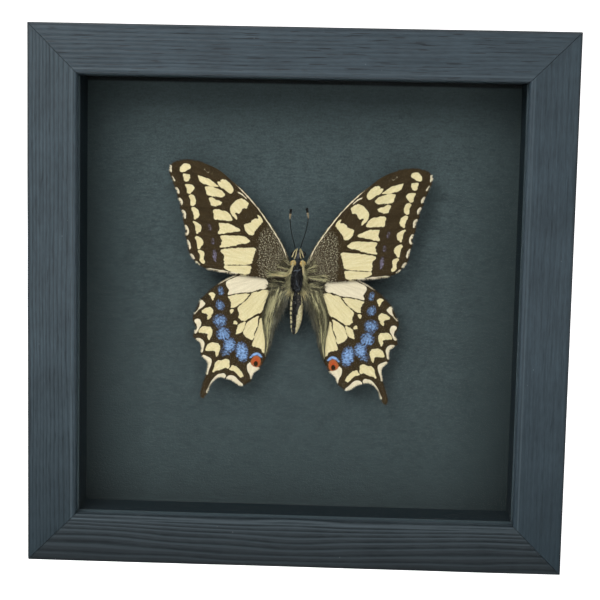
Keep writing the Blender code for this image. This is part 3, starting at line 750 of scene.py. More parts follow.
HINDWING_CREAM = [
    [(23.1, 0.1), (23.3, 0.7), (24, 1), (24.7, 0.7), (24.8, 0.3), (24.2, -0.2), (24, -1.2),
     (23.6, -1.3), (23.3, -0.5)],
    [(23.5, -4.3), (24.2, -3.3), (25, -3.2), (26, -3.7), (26.7, -4.3), (26.5, -4.8), (25.5, -5.2),
     (25.1, -5.7), (25, -6.7), (24, -5.7)],
    [(23.8, -9.7), (24.6, -8.9), (26.3, -8.8), (27.1, -9.4), (27.6, -10.5), (26.5, -10.7),
     (25.1, -10.9), (25.1, -11.8), (24.7, -12.7), (24.1, -11.8), (23.7, -10.9)],
    [(21.3, -14.7), (21.7, -13.9), (22.5, -13.4), (23.6, -13.3), (24.8, -13.9), (25.4, -14.7),
     (25.6, -15.7), (24.2, -15.7), (23, -15.7), (22.6, -16.3), (22.4, -17.4), (21.7, -16.1)],
    [(18.6, -19), (18.8, -18.3), (19.8, -18.1), (20.9, -18.3), (22.1, -18.6), (22.9, -19.5),
     (23.2, -20.7), (23.6, -21.7), (23.3, -22), (22.3, -21.4), (20.7, -21), (20, -20.6),
     (19.1, -20.8), (18.6, -19.9)],
    [(14.6, -22.6), (15.1, -21.9), (15.9, -20.8), (17.1, -20), (18.1, -19.8), (18.4, -20.3),
     (18.7, -21.1), (17.5, -21.4), (16.3, -22.4), (15.5, -23.3), (14.8, -23.1)],
    [(13.3, 0.8), (16.2, 0.7), (19.2, 0.1), (19.4, -0.3), (18.5, -1.6), (18.5, -3.2), (17.7, -3.2),
     (15.8, -2), (14.6, -1), (13.7, 0.1)],
    [(17.8, -3.7), (18.6, -3.7), (18.6, -4.5), (18.3, -4.9), (17.9, -4.4)],
    [(6.4, 1.2), (9, 2.1), (10.4, 1.7), (12.3, 1.2), (13, 0.7), (13.5, -0.3), (14.8, -1.6),
     (16.2, -2.8), (16.7, -3.5), (16.3, -4.5), (16.2, -6.2), (15.4, -6.8), (14.4, -6.8), (13.3, -6.2),
     (11.7, -5.1), (10.2, -4.5), (9, -3.2), (7.6, -1)],
    [(16.5, -7.5), (16.9, -6.9), (17.6, -7.1), (17.7, -7.8), (17.2, -8), (16.7, -7.9)],
    [(14.3, -7.4), (15.2, -7.4), (16.2, -8), (16.7, -9.1), (17, -10.8), (16, -10.5), (15, -9.9)],
    [(10.6, -5.5), (11.7, -5.8), (13.9, -7.2), (14.4, -8.5), (14.9, -9.9), (14.6, -11), (12.5, -12.3),
     (11.7, -10.3), (10.9, -8.2)],
    [(10.2, -6), (10.6, -8.2), (11.4, -10.3), (12, -12.8), (12.3, -14.1), (11.3, -14.3), (10, -14.8),
     (9, -16), (8.4, -15.9), (8, -13.8), (8.6, -9.4), (9.4, -7)],
]
HINDWING_WHITE = [
    [(8.6, 2.5), (8.2, 4.4), (10, 5.9), (13.5, 6.6), (16.2, 5.9), (18.3, 5.1), (19.9, 4.2), (19.9, 3),
     (19.1, 1.7), (19.3, 0.4), (17.1, 0.9), (15, 1.2), (12.9, 1.35), (11.7, 1.8), (10.4, 2.2)],
    [(25.9, -2.2), (26.7, -1.3), (27.3, -1.8), (27.5, -3), (28.8, -5.3), (28.1, -4.5), (26.5, -3.2)],
    [(27.9, -6.6), (28.8, -6.9), (28.8, -7.6), (28.2, -8.2), (28.1, -9.3), (28.7, -10.9), (27.7, -9.7),
     (26.9, -8.2), (27.1, -7.2)],
    [(28.4, -12.4), (27.5, -12.1), (26.3, -12.8), (26, -13.8), (26.1, -14.9), (26.7, -16.5),
     (26.75, -15.1), (26.9, -13.8), (27.4, -13.1)],
    [(26.4, -17.3), (25.1, -17.4), (24, -18), (23.8, -19), (24.2, -20.3), (24.7, -21.6), (25.1, -22.7),
     (25, -21.5), (24.8, -20.3), (24.7, -19.3), (25.15, -18.6)],
    [(19.6, -22.8), (20, -22.3), (20.7, -22.2), (22.1, -22.6), (23, -23.4), (24, -24.7), (24.7, -26.3),
     (25.1, -27.9), (24.2, -26.1), (23.2, -24.5), (22.3, -23.6), (20.9, -23.2), (19.9, -23.4)],
    [(19.5, -23.6), (18.8, -22.8), (17.8, -22.7), (17.1, -23.1), (15.9, -24.2), (14.8, -25.2),
     (15.1, -25.6), (16.3, -25.2), (17.3, -24.5), (18.2, -23.9)],
    [(13.5, -19.5), (13.6, -20.5), (13.4, -21.5), (13, -22.2), (12.7, -23.4), (12.5, -23.8),
     (12.3, -23.2), (12.1, -22.2), (11.3, -21.3), (10.3, -20.4), (11.1, -20), (11.9, -19.9),
     (12.6, -19), (13, -18.8)],
]
HINDWING_WHITE_LINES = [(0.5, [(16.4, 6.5), (18.2, 5.7), (21, 4.2), (23, 2.9)])]
EYESPOT_RED = [
    (9.8, -18), (10.1, -17.4), (10.9, -16.7), (11.9, -17.2), (12.6, -18.2), (12.7, -19), (12.1, -19.7),
    (11.1, -20.2), (10.1, -19.7), (9.7, -19),
]
EYESPOT_BLUE = [
    (9.3, -17), (9.8, -16.3), (10.7, -15.8), (11.7, -15.9), (12.5, -16.5), (13.2, -17.6),
    (12.4, -17.5), (11.3, -16.8), (10.3, -17.1), (9.6, -17.6),
]
# Soft clouds of scales: centre, the two radii, the turn of the first one in degrees, and strength.
BLUE_CLOUDS = [
    (21.5, 1.5, 1.0, 1.6, 20, 0.75), (21.6, -2.6, 1.4, 1.8, 25, 0.8), (21.6, -7, 2.3, 2.1, 0, 0.9),
    (21.6, -9.2, 0.9, 1.2, 0, 0.5), (20.6, -10.8, 2.2, 2.2, 0, 1.0), (18.8, -14, 1.95, 2.6, -10, 1.1),
    (19.9, -16, 1.6, 1.7, 0, 0.6), (15.2, -15.9, 2.05, 3.3, 8, 1.15),
]
LILAC_CLOUDS = [
    (24.8, 19.5, 0.7, 1.4, 15, 0.35), (23.8, 15.5, 0.6, 1.2, 5, 0.4), (23.3, 11.5, 0.75, 2.1, 5, 0.62),
]
PALE_CLOUDS = [(25.7, 35.3, 2.3, 0.75, -25, 0.95)]
print(len(BLUE_CLOUDS), "blue clouds on a hindwing")

# %% Curves and distances
FIELD_REACH = 1.6  # how far from a marking its distance is worked out


def smooth_curve(points, steps=5, closed=True):
    """A curve through the points. Between two of them it is the Hermite cubic whose slope at each
    point runs along its neighbours' chord and is as long as the shorter stretch beside it."""
    here = np.asarray(points, float)
    before, after = np.roll(here, 1, axis=0), np.roll(here, -1, axis=0)
    if not closed:
        before[0], after[-1] = here[0], here[-1]
    chord = after - before
    lengths = [np.linalg.norm(here - before, axis=1), np.linalg.norm(after - here, axis=1)]
    reach = np.where(np.minimum(*lengths) > 0, np.minimum(*lengths), np.maximum(*lengths))
    slope = chord / np.linalg.norm(chord, axis=1)[:, None] * reach[:, None]
    stretches = len(here) if closed else len(here) - 1
    start, end = here[:stretches, None], after[:stretches, None]
    leaving, arriving = slope[:stretches, None], np.roll(slope, -1, axis=0)[:stretches, None]
    t = (np.arange(steps) / steps)[None, :, None]
    curve = start * (2 * t**3 - 3 * t**2 + 1) + leaving * (t**3 - 2 * t**2 + t)
    curve = (curve + end * (3 * t**2 - 2 * t**3) + arriving * (t**3 - t**2)).reshape(-1, here.shape[1])
    return curve if closed else np.concatenate([curve, here[-1:]])


def near_line(places, line, closed=False):
    """For each place: its distance to a line of points, how far along it the nearest point lies,
    from 0 to 1, and whether a ray to the right crosses the line an odd number of times."""
    start = line if closed else line[:-1]
    run = (np.roll(line, -1, axis=0) if closed else line[1:])[:len(start)] - start
    length = np.linalg.norm(run, axis=1)
    gone = np.concatenate([[0], np.cumsum(length)])
    distance, along = np.empty(len(places)), np.empty(len(places))
    odd = np.empty(len(places), bool)
    for part in np.array_split(np.arange(len(places)), 1 + len(places) * len(start) // 1_500_000):
        offset = places[part][:, None, :] - start[None]
        share = np.clip((offset * run).sum(axis=-1) / np.maximum(length, 1e-9) ** 2, 0, 1)
        gap = np.linalg.norm(offset - share[..., None] * run, axis=-1)
        best = np.argmin(gap, axis=1)
        row = np.arange(len(part))
        distance[part] = gap[row, best]
        along[part] = (gone[best] + share[row, best] * length[best]) / gone[-1]
        spans = (offset[..., 1] >= 0) != (offset[..., 1] >= run[:, 1])
        height = np.where(run[:, 1] == 0, 1e-9, run[:, 1])
        odd[part] = ((spans & (offset[..., 0] < run[:, 0] * offset[..., 1] / height)).sum(axis=1) % 2) == 1
    return distance, along, odd


def inside_by(places, loop):
    """Distance to a closed loop, positive inside it, worked out only within reach of the loop."""
    result = np.full(len(places), -FIELD_REACH)
    low, high = loop.min(axis=0) - FIELD_REACH, loop.max(axis=0) + FIELD_REACH
    near = np.flatnonzero(np.all((places > low) & (places < high), axis=1))
    distance, _, odd = near_line(places[near], loop, closed=True)
    result[near] = np.clip(np.where(odd, distance, -distance), -FIELD_REACH, FIELD_REACH)
    return result


def loops_field(places, loops):
    """The largest of the signed distances to several loops: where the places are inside any."""
    fields = [inside_by(places, smooth_curve(loop)) for loop in loops]
    return np.max(fields, axis=0) if fields else np.full(len(places), -FIELD_REACH)


def lines_field(places, lines):
    """Signed distance to strokes: half a width that narrows to both ends, less the distance."""
    field = np.full(len(places), -FIELD_REACH)
    for width, points in lines:
        distance, along, _ = near_line(places, smooth_curve(points, closed=False))
        half = 0.5 * width * (1 - np.abs(2 * along - 1) ** 5)
        field = np.maximum(field, half - distance)
    return field


def clouds_field(places, clouds):
    """Soft ellipses: strength times one less the squared distance in radii, the largest counting."""
    field = np.zeros(len(places))
    for x, y, across, up, turn, strength in clouds:
        c, s = math.cos(math.radians(turn)), math.sin(math.radians(turn))
        dx, dy = places[:, 0] - x, places[:, 1] - y
        far = ((c * dx - s * dy) / across) ** 2 + ((s * dx + c * dy) / up) ** 2
        field = np.maximum(field, strength * np.clip(1 - far, 0, 1) ** 0.7)
    return field


print("distance helpers ready")

# %% What is painted where
def base_dust(places, kind):
    """How thickly pale scales are strewn near the body: 1 close to it, falling to 0 at the cream."""
    x, y = places[:, 0], places[:, 1]
    if kind == "forewing":
        limit = 12.0 + 0.6 * soft_noise(y / 2, 0 * y, 5)
        lower = step_between(30.6, 28.4, x + y)
        return step_between(limit + 0.9, limit - 1.8, x) * lower
    return step_between(10.5, 7.5, x - 0.25 * (y - 4)) * step_between(-4, 0.5, y)


def paint(places, kind):
    """Every marking of a wing as numbers at flat places: signed distances in mm, or densities."""
    if kind == "forewing":
        cream = loops_field(places, FOREWING_CREAM)
        white = lines_field(places, FOREWING_WHITE_LINES)
        blue, pale = clouds_field(places, LILAC_CLOUDS), clouds_field(places, PALE_CLOUDS)
        red = eye = np.full(len(places), -FIELD_REACH)
        lilac = np.ones(len(places))
    else:
        cream = loops_field(places, HINDWING_CREAM)
        white = np.maximum(loops_field(places, HINDWING_WHITE), lines_field(places, HINDWING_WHITE_LINES))
        cap = inside_by(places, smooth_curve(EYESPOT_BLUE))
        blue = np.maximum(clouds_field(places, BLUE_CLOUDS), 1.3 * step_between(-0.1, 0.35, cap))
        red = inside_by(places, smooth_curve(EYESPOT_RED))
        eye = 0.78 - np.hypot((places[:, 0] - 11.2) / 0.8, places[:, 1] + 19.2)
        pale = np.zeros(len(places))
        lilac = np.zeros(len(places))
    return {"cream": cream, "white": white, "blue": blue, "lilac": lilac, "red": red, "eye": eye,
            "dust": np.maximum(base_dust(places, kind), pale)}


print("the markings are", ", ".join(paint(np.zeros((1, 2)), "hindwing")))

# %% [markdown]
# ## The wings
#
# The sheet keeps the grid cells that lie inside the outline, and moves the points along the cut on to
# the outline itself. It is closed into a thin shell that is thinnest at its rim. A real wing is
# stiffened by corrugation: the veins stand up as fine ridges and the membrane sags between them.
# The markings are kept on the points as distances, so that the material can cut their edges much
# finer than the grid, with the ragged teeth that single scales make.

# %% A sheet trimmed to an outline
WING_STEP = 0.135  # between grid points, in mm
SHEET_THICKNESS = 0.09


def trimmed_sheet(loop, step):
    """Grid points and four-cornered cells inside a loop. A cell stays if its centre is inside, and
    points that are not surrounded by four cells move to the nearest place on the loop."""
    low, high = loop.min(axis=0) - step, loop.max(axis=0) + step
    columns, rows = np.ceil((high - low) / step).astype(int)
    x, y = np.meshgrid(low[0] + step * np.arange(columns), low[1] + step * np.arange(rows))
    centres = np.stack([x[:-1, :-1], y[:-1, :-1]], axis=-1).reshape(-1, 2) + step / 2
    keep = (inside_by(centres, loop) > 0).reshape(rows - 1, columns - 1)
    for _ in range(3):
        padded = np.pad(keep, 1)
        beside = padded[:-2, 1:-1].astype(int) + padded[2:, 1:-1] + padded[1:-1, :-2] + padded[1:-1, 2:]
        keep &= beside > 1
        corner = keep[:-1, :-1] & keep[1:, 1:] & ~keep[1:, :-1] & ~keep[:-1, 1:]
        keep[:-1, :-1] &= ~corner
        corner = keep[1:, :-1] & keep[:-1, 1:] & ~keep[:-1, :-1] & ~keep[1:, 1:]
        keep[1:, :-1] &= ~corner
    cells = grid_faces(rows, columns).reshape(rows - 1, columns - 1, 4)[keep]
    used, renumbered = np.unique(cells, return_inverse=True)
    places = np.stack([x, y], axis=-1).reshape(-1, 2)[used]
    cells = renumbered.reshape(-1, 4)
    rim = np.bincount(cells.ravel(), minlength=len(used)) < 4
    places[rim] = nearest_on(places[rim], loop)
    return places, cells


def nearest_on(places, loop):
    """The nearest place on a closed loop, found on the loop walked in very small steps."""
    fine = np.concatenate([loop + (np.roll(loop, -1, axis=0) - loop) * t for t in np.arange(12) / 12])
    gap = np.linalg.norm(places[:, None, :] - fine[None], axis=-1)
    return fine[np.argmin(gap, axis=1)]


def rim_edges(faces):
    """The directed edges that only one face has."""
    edges = np.concatenate([np.stack([faces[:, i], faces[:, (i + 1) % 4]], axis=1) for i in range(4)])
    size = faces.max() + 1
    keys, reverse = edges[:, 0] * size + edges[:, 1], edges[:, 1] * size + edges[:, 0]
    return edges[~np.isin(keys, reverse)]


def wing_height(places, kind):
    """Height of the sheet's middle off the card: a shallow camber, a ripple at the outer margin,
    ridges on the veins and a sag that grows with the distance from them."""
    veins = FOREWING_VEINS if kind == "forewing" else HINDWING_VEINS
    lines = [smooth_curve(vein, closed=False) for vein in veins]
    distance = np.min([near_line(places, line)[0] for line in lines], axis=0)
    x, y = places[:, 0], places[:, 1]
    camber = 0.30 * np.sin((x - 2) / 34 * math.pi) - 0.012 * (y - 8) * (1 if kind == "forewing" else -0.6)
    ripple = 0.06 * soft_noise(x / 4.5, y / 4.5, 8) * step_between(14, 30, np.hypot(x, y - 8))
    relief = 0.055 * np.exp(-(distance / 0.16) ** 2) - 0.09 * (1 - np.exp(-(distance / 1.2) ** 2))
    base = FOREWING_HEIGHT if kind == "forewing" else HINDWING_HEIGHT
    return base + camber + ripple + relief


def radial_uv(places):
    """Distance from the wing's root and arc round it, both in mm: scales and streaks follow these."""
    offset = places - WING_ROOT
    return np.hypot(*offset.T), np.arctan2(offset[:, 1], offset[:, 0]) * 16


print("one grid cell is", WING_STEP, "mm wide")


# %% The scales' colours
def scaled_wing(name):
    """Scales over a membrane. A marking shows where its signed distance, plus noise drawn out along
    the veins, is over zero. Blue and dust are single scales: noise cut at a density's level."""
    n = Nodes(name)
    place = n.here("UV")
    teeth = n.noise(place, 1.0, 3.0, 0.6, stretch=(0.45, 1.5, 1.0))
    fine = n.noise(place, 1.0, 2.0, 0.6, stretch=(2.6, 5.0, 1.0))
    streak = n.noise(place, 1.0, 3.0, 0.6, stretch=(0.18, 1.7, 1.0))
    scale = n.noise(place, 2.3, 2.0, 0.6)
    mottle = n.noise(place, 0.35, 3.0, 0.6)
    ragged = n.math("ADD", n.swing(teeth, 0.24), n.swing(fine, 0.08))

    def edge(attribute, ragged_share=1.0, blur=0.07):
        """Where a marking shows: its distance made ragged, and cut at zero with a little blur."""
        value = n.math("MULTIPLY_ADD", ragged, ragged_share, n.attribute(attribute))
        return n.between(value, -blur, blur)

    tone = n.math("ADD", n.between(streak, 0.3, 0.7, 0.0, 0.6), n.between(scale, 0.3, 0.7, 0.0, 0.4))
    colour = n.mix(tone, GROUND_DARK, GROUND_LIGHT)
    dusted = n.math("ADD", scale, n.math("MULTIPLY", n.attribute("dust"), 0.30))
    dusted = n.between(dusted, 0.850, 0.915)
    colour = n.mix(n.math("MULTIPLY", dusted, n.between(n.attribute("dust"), 0.02, 0.2, 0.0, 0.85)),
                   colour, DUST)
    cream = n.mix(tone, CREAM_DARK, CREAM_LIGHT)
    cream = n.mix(n.between(mottle, 0.35, 0.65, 0.0, 0.35), cream, CREAM_DEEP)
    colour = n.mix(edge("cream", 0.8), colour, cream)
    white = n.mix(tone, WHITE_DARK, WHITE_LIGHT)
    colour = n.mix(edge("white", 0.5), colour, white)
    red = n.mix(n.between(n.attribute("red"), 0.1, 1.0), RED_EDGE, RED_MIDDLE)
    colour = n.mix(edge("red", 0.8, 0.14), colour, red)
    colour = n.mix(edge("eye", 0.4, 0.12), colour, GROUND_DARK)
    speckled = n.math("ADD", n.math("MULTIPLY", scale, 2.8), n.attribute("blue"))
    blue = n.mix(n.between(speckled, 1.75, 3.0), BLUE_DEEP, BLUE_LIGHT)
    blue = n.mix(n.attribute("lilac"), blue, LILAC)
    shows = n.between(speckled, 1.55, 2.5)
    colour = n.mix(n.math("MULTIPLY", shows, n.between(n.attribute("blue"), 0.02, 0.3)), colour, blue)
    relief = n.math("ADD", n.math("MULTIPLY", scale, 0.6), n.math("MULTIPLY", streak, 0.6))
    normal = n.bump(relief, 0.5, 0.00003)
    return n.finish(Base_Color=colour, Roughness=0.7, Normal=normal, Specular_IOR_Level=0.1)


GROUND_DARK = (0.020, 0.012, 0.004)
GROUND_LIGHT = (0.050, 0.034, 0.014)
CREAM_DARK = (0.54, 0.45, 0.23)
CREAM_LIGHT = (0.78, 0.70, 0.44)
CREAM_DEEP = (0.66, 0.56, 0.29)
WHITE_DARK = (0.58, 0.50, 0.34)
WHITE_LIGHT = (0.78, 0.70, 0.52)
DUST = (0.48, 0.45, 0.33)
RED_EDGE = (0.33, 0.10, 0.03)
RED_MIDDLE = (0.42, 0.065, 0.015)
BLUE_DEEP = (0.08, 0.15, 0.30)
BLUE_LIGHT = (0.26, 0.42, 0.70)
LILAC = (0.22, 0.20, 0.30)
WING_SCALES = scaled_wing("wing scales")


# %% Four wings
def add_wing(name, kind):
    """One wing: front and back points half a thickness either side of the sheet, and a rim."""
    outline = FOREWING_OUTLINE if kind == "forewing" else HINDWING_OUTLINE
    loop = smooth_curve(outline, steps=8)
    places, cells = trimmed_sheet(loop, WING_STEP)
    x, up = set_wing(places, name)
    height = wing_height(places, kind)
    edge = inside_by(places, loop)
    half = SHEET_THICKNESS / 2 * (0.15 + 0.85 * step_between(0, 0.5, edge))
    points = np.concatenate([specimen(x, up, height + half), specimen(x, up, height - half)])
    front = cells if SETTING[name][0] > 0 else cells[:, ::-1]
    rim = rim_edges(front)
    count = len(places)
    sides = np.stack([rim[:, 1], rim[:, 0], rim[:, 0] + count, rim[:, 1] + count], axis=1)
    faces = np.concatenate([front, front[:, ::-1] + count, sides])
    made = add_piece(name, points, faces.tolist(), WING_SCALES, [name])
    for marking, values in paint(places, kind).items():
        store(made.data, marking, np.tile(values, 2))
    u, v = radial_uv(places)
    store_uv(made.data, np.tile(u, 2), np.tile(v, 2))
    return made


for name in SETTING:
    wing = add_wing(name, name.split("_")[0])
    print(name, 2 * len(wing.data.polygons), "triangles")

# %% [markdown]
# ## Hair and fur
#
# The wings' inner margins, the thorax and the head are covered in long dry hair. Particle hair would be
# lost when the model leaves Blender, so each hair is a thin tapered prism with three sides. All of a
# group's hairs are worked out at once: their roots, middles and tips are rows of arrays, and one
# short pattern of faces is repeated with an offset for each hair.

# %% Strands from arrays
STRAND_RINGS = 3
RING_SIDES = 3


def dry_hair(name, dark, light, roughness=0.55, pale_from=0.0):
    """Dry hair: each strand has its own tint between two colours, and is darker at its root. Tints
    under pale_from are all dark."""
    n = Nodes(name)
    tint = n.between(n.attribute("tint"), pale_from, 1.0)
    colour = n.mix(tint, dark, light)
    rooted = n.between(n.attribute("along"), 0.0, 0.45, 0.55, 0.0)
    colour = n.mix(rooted, colour, tuple(0.35 * v for v in dark))
    return n.finish(Base_Color=colour, Roughness=roughness, Specular_IOR_Level=0.3)


def strand_faces(count):
    """Faces for many strands: two bands of quads, three faces at the tip and one at the root."""
    quads, corners = [], []
    for ring in range(STRAND_RINGS - 1):
        for k in range(RING_SIDES):
            a, b = RING_SIDES * ring + k, RING_SIDES * ring + (k + 1) % RING_SIDES
            quads.append((a, b, b + RING_SIDES, a + RING_SIDES))
    tip = RING_SIDES * STRAND_RINGS
    last = tip - RING_SIDES
    for k in range(RING_SIDES):
        corners.append((last + k, last + (k + 1) % RING_SIDES, tip))
    corners.append((2, 1, 0))
    start = np.arange(count)[:, None, None] * (tip + 1)
    four = (np.array(quads)[None] + start).reshape(-1, 4).tolist()
    three = (np.array(corners)[None] + start).reshape(-1, 3).tolist()
    return four + three


def strands(name, root, middle, tip, width, finish, slot, tint):
    """Tapered three-sided hairs. A hair's middle line is (1-s)^2 root + 2s(1-s) middle + s^2 tip,
    and three points stand round it at half the width times 1 - s^2. Places are specimen millimetres."""
    root, middle, tip = (specimen(*place.T) for place in (root, middle, tip))
    s = (np.arange(STRAND_RINGS) / STRAND_RINGS)[None, :, None]
    line = (1 - s) ** 2 * root[:, None] + 2 * s * (1 - s) * middle[:, None] + s**2 * tip[:, None]
    forward = tip - root
    forward /= np.linalg.norm(forward, axis=1, keepdims=True)
    across = np.cross(forward, (0.31, 0.90, 0.20))
    across /= np.linalg.norm(across, axis=1, keepdims=True)
    third = np.cross(forward, across)
    angle = math.tau * np.arange(RING_SIDES)[None, :, None] / RING_SIDES
    ring = np.cos(angle) * across[:, None] + np.sin(angle) * third[:, None]
    radius = 0.5 * MM * np.asarray(width)[:, None, None, None] * (1 - s**2)[..., None]
    points = (line[:, :, None] + radius * ring[:, None]).reshape(len(root), -1, 3)
    points = np.concatenate([points, tip[:, None]], axis=1)
    made = add_piece(name, points.reshape(-1, 3), strand_faces(len(root)), finish)
    each = points.shape[1]
    store(made.data, "tint", np.repeat(tint, each))
    store(made.data, "along", np.tile(np.append(np.repeat(s.ravel(), RING_SIDES), 1.0), len(root)))
    return made


def on_curve(points, share):
    """Places on a curve through points, at shares of its length."""
    curve = smooth_curve(points, steps=8, closed=False)
    gone = np.concatenate([[0], np.cumsum(np.linalg.norm(np.diff(curve, axis=0), axis=1))])
    return np.stack([np.interp(share, gone / gone[-1], column) for column in curve.T], axis=1)


OLIVE_HAIR = dry_hair("olive hair", (0.024, 0.020, 0.008), (0.66, 0.61, 0.34))
DARK_HAIR = dry_hair("dark wing hair", (0.012, 0.010, 0.005), (0.12, 0.105, 0.060))
GREY_HAIR = dry_hair("pale grey hair", (0.04, 0.038, 0.025), (0.46, 0.45, 0.33))
BLACK_HAIR = dry_hair("black fur", (0.005, 0.0045, 0.004), (0.20, 0.22, 0.25), 0.5, 0.62)
YELLOW_HAIR = dry_hair("yellow tufts", (0.36, 0.23, 0.05), (0.92, 0.71, 0.30))
CREAM_HAIR = dry_hair("cream hair", (0.50, 0.41, 0.18), (0.88, 0.79, 0.49))
print("one strand has", len(strand_faces(1)), "faces")

# %% Hair on the wings
# The hindwing's inner margin, and the line on the wing where its long hair ends.
HAIR_MARGIN = [(2.3, 3.4), (3.2, 0.4), (4.6, -2.8), (5.9, -6), (6.9, -10), (7.4, -13.6), (8.5, -17.2)]
HAIR_LIMIT = [(7.4, 4.2), (8.6, 1), (9.6, -2), (10.2, -5), (9.8, -8.2), (8.8, -12.4), (8.8, -16.4)]


def margin_hair(wing, count, seed, low, high, finish, spread):
    """Long hair that flows along the inner margin. A hair keeps its share of the way from margin to
    limit while it runs down both curves, and lifts off the wing in its middle."""
    rng = np.random.default_rng(seed)
    start = rng.uniform(0.0, 0.86, count)
    share = rng.uniform(low, high, count)
    run = rng.uniform(0.10, 0.24, count) * (1.15 - 0.4 * start)
    ends = []
    for along, sway in ((start, 0.0), (start + run / 2, spread * 0.4), (start + run, spread)):
        along = np.clip(along, 0, 1)
        shift = (share + sway * rng.normal(0, 1, count) - sway * 0.8)[:, None]
        place = on_curve(HAIR_MARGIN, along) * (1 - shift) + on_curve(HAIR_LIMIT, along) * shift
        ends.append(np.stack(set_wing(place, wing), axis=1))
    lift = HINDWING_HEIGHT + 0.12 + np.stack([0 * start, rng.uniform(0.1, 0.6, count),
                                               rng.uniform(-0.05, 0.45, count)], axis=1)
    root, middle, tip = (np.column_stack([place, lift[:, i]]) for i, place in enumerate(ends))
    clump = step_between(-0.12, 0.22, soft_noise(share * 17, start * 5, seed))
    pale_band = 0.20 + 0.80 * np.exp(-((share - 0.42) / 0.27) ** 2)
    tint = np.clip((0.3 * rng.uniform(0, 1, count) + 0.95 * clump) * pale_band, 0, 1)
    name = f"{wing}_{finish.name.replace(' ', '_')}"
    return strands(name, root, middle, tip, rng.uniform(0.08, 0.18, count), finish, "wing", tint)


def fan_hair(wing, part, count, seed, centre, angles, reach, height, length, finish, width):
    """Hair lying on a wing like the sticks of a fan: roots at a distance and an angle from the
    fan's centre, tips further out along nearly the same angle."""
    rng = np.random.default_rng(seed)
    angle = np.radians(rng.uniform(*angles, count))
    far = reach[0] + (reach[1] - reach[0]) * rng.uniform(0, 1, count) ** 1.3
    ends = []
    for share in (0.0, 0.5, 1.0):
        turn = angle + share * rng.normal(0, 0.07, count)
        out = far + share * rng.uniform(0.6, 1.2, count) * length
        place = np.array(centre) + out[:, None] * np.stack([np.cos(turn), np.sin(turn)], axis=1)
        lift = height + (0.05, 0.35, 0.12)[round(2 * share)] * rng.uniform(0.5, 1.2, count)
        ends.append(np.column_stack([np.stack(set_wing(place, wing), axis=1), lift]))
    clump = step_between(-0.25, 0.40, soft_noise(angle * 19, far / 3, seed))
    tint = np.clip(0.3 * rng.uniform(0, 1, count) + 0.85 * clump - 0.1, 0, 1)
    widths = width * rng.uniform(0.7, 1.3, count)
    return strands(f"{wing}_{part}", *ends, widths, finish, "wing", tint)


# Each fan: wing, part, hairs, seed, centre, angles, reach, height, length, finish and width.
FANS = [
    ("hindwing_", "root_fan", 380, 120, (0.6, 4.2), (-58, 8), (1.2, 6.0), 4.45, 2.2, OLIVE_HAIR, 0.09),
    ("hindwing_", "root_shade", 420, 130, (0.6, 4.2), (-30, 18), (2.0, 7.2), 4.45, 1.5, DARK_HAIR, 0.09),
    ("forewing_", "root_fan", 220, 140, (0.4, 6.9), (-10, 5), (1.3, 6.6), 5.0, 2.4, OLIVE_HAIR, 0.09),
    ("forewing_", "root_down", 170, 150, (0.2, 7.6), (5, 58), (1.8, 5.0), 5.0, 1.5, OLIVE_HAIR, 0.07),
]
for number, side in enumerate(("left", "right")):
    margin_hair("hindwing_" + side, 1700, 100 + number, 0.02, 0.88, OLIVE_HAIR, 0.09)
    margin_hair("hindwing_" + side, 900, 110 + number, -0.12, 0.22, GREY_HAIR, 0.22)
    for wing, part, count, seed, *rest in FANS:
        fan_hair(wing + side, part, count, seed + number, *rest)
print("long hair lies on four wings")

# %% The scale fringe
def fringe(wing, kind, count, seed):
    """Fine scales that stand out past the outer margin, each in the colour of the wing beside it."""
    rng = np.random.default_rng(seed)
    loop = smooth_curve(FOREWING_OUTLINE if kind == "forewing" else HINDWING_OUTLINE, steps=8)
    ends = (0.36, 0.93) if kind == "forewing" else (0.1, 0.82)
    closed = np.concatenate([loop, loop[:1]])
    gone = np.concatenate([[0], np.cumsum(np.linalg.norm(np.diff(closed, axis=0), axis=1))])
    share = rng.uniform(*ends, count) * gone[-1]
    place = np.stack([np.interp(share, gone, column) for column in closed.T], axis=1)
    ahead = np.stack([np.interp(share + 0.2, gone, column) for column in closed.T], axis=1) - place
    outward = np.stack([-ahead[:, 1], ahead[:, 0]], axis=1)
    outward /= np.maximum(np.linalg.norm(outward, axis=1, keepdims=True), 1e-6)
    outward += rng.normal(0, 0.25, outward.shape)
    length = rng.uniform(0.22, 0.42, (count, 1))
    height = wing_height(place, kind)
    ends = []
    for step in (-0.3, 0.4, 1.0):
        flat = np.stack(set_wing(place + outward * length * step, wing), axis=1)
        ends.append(np.column_stack([flat, height - 0.03 * step]))
    made = strands(wing + "_fringe", *ends, rng.uniform(0.06, 0.1, count), WING_SCALES, "wing", share)
    each = len(made.data.vertices) // count
    inside = place - 0.12 * outward
    for marking, values in paint(inside, kind).items():
        store(made.data, marking, np.repeat(values, each))
    u, v = radial_uv(place)
    store_uv(made.data, np.repeat(u, each), np.repeat(v, each))
    return made


for number, name in enumerate(SETTING):
    fringe(name, name.split("_")[0], 1500, 200 + number)
print("fringes of 1500 scales on each wing")

# %% [markdown]
# ## The body
#
# Head, thorax and abdomen are turned surfaces: an ellipse whose two half widths change along the
# body. The abdomen is made of rings that overlap like a telescope, and it has dried a little
# twisted, so its dark back shows left of the middle and its cream side shows on the right. The
# thorax is black and glossy under its fur, with two yellow lines over the shoulders.

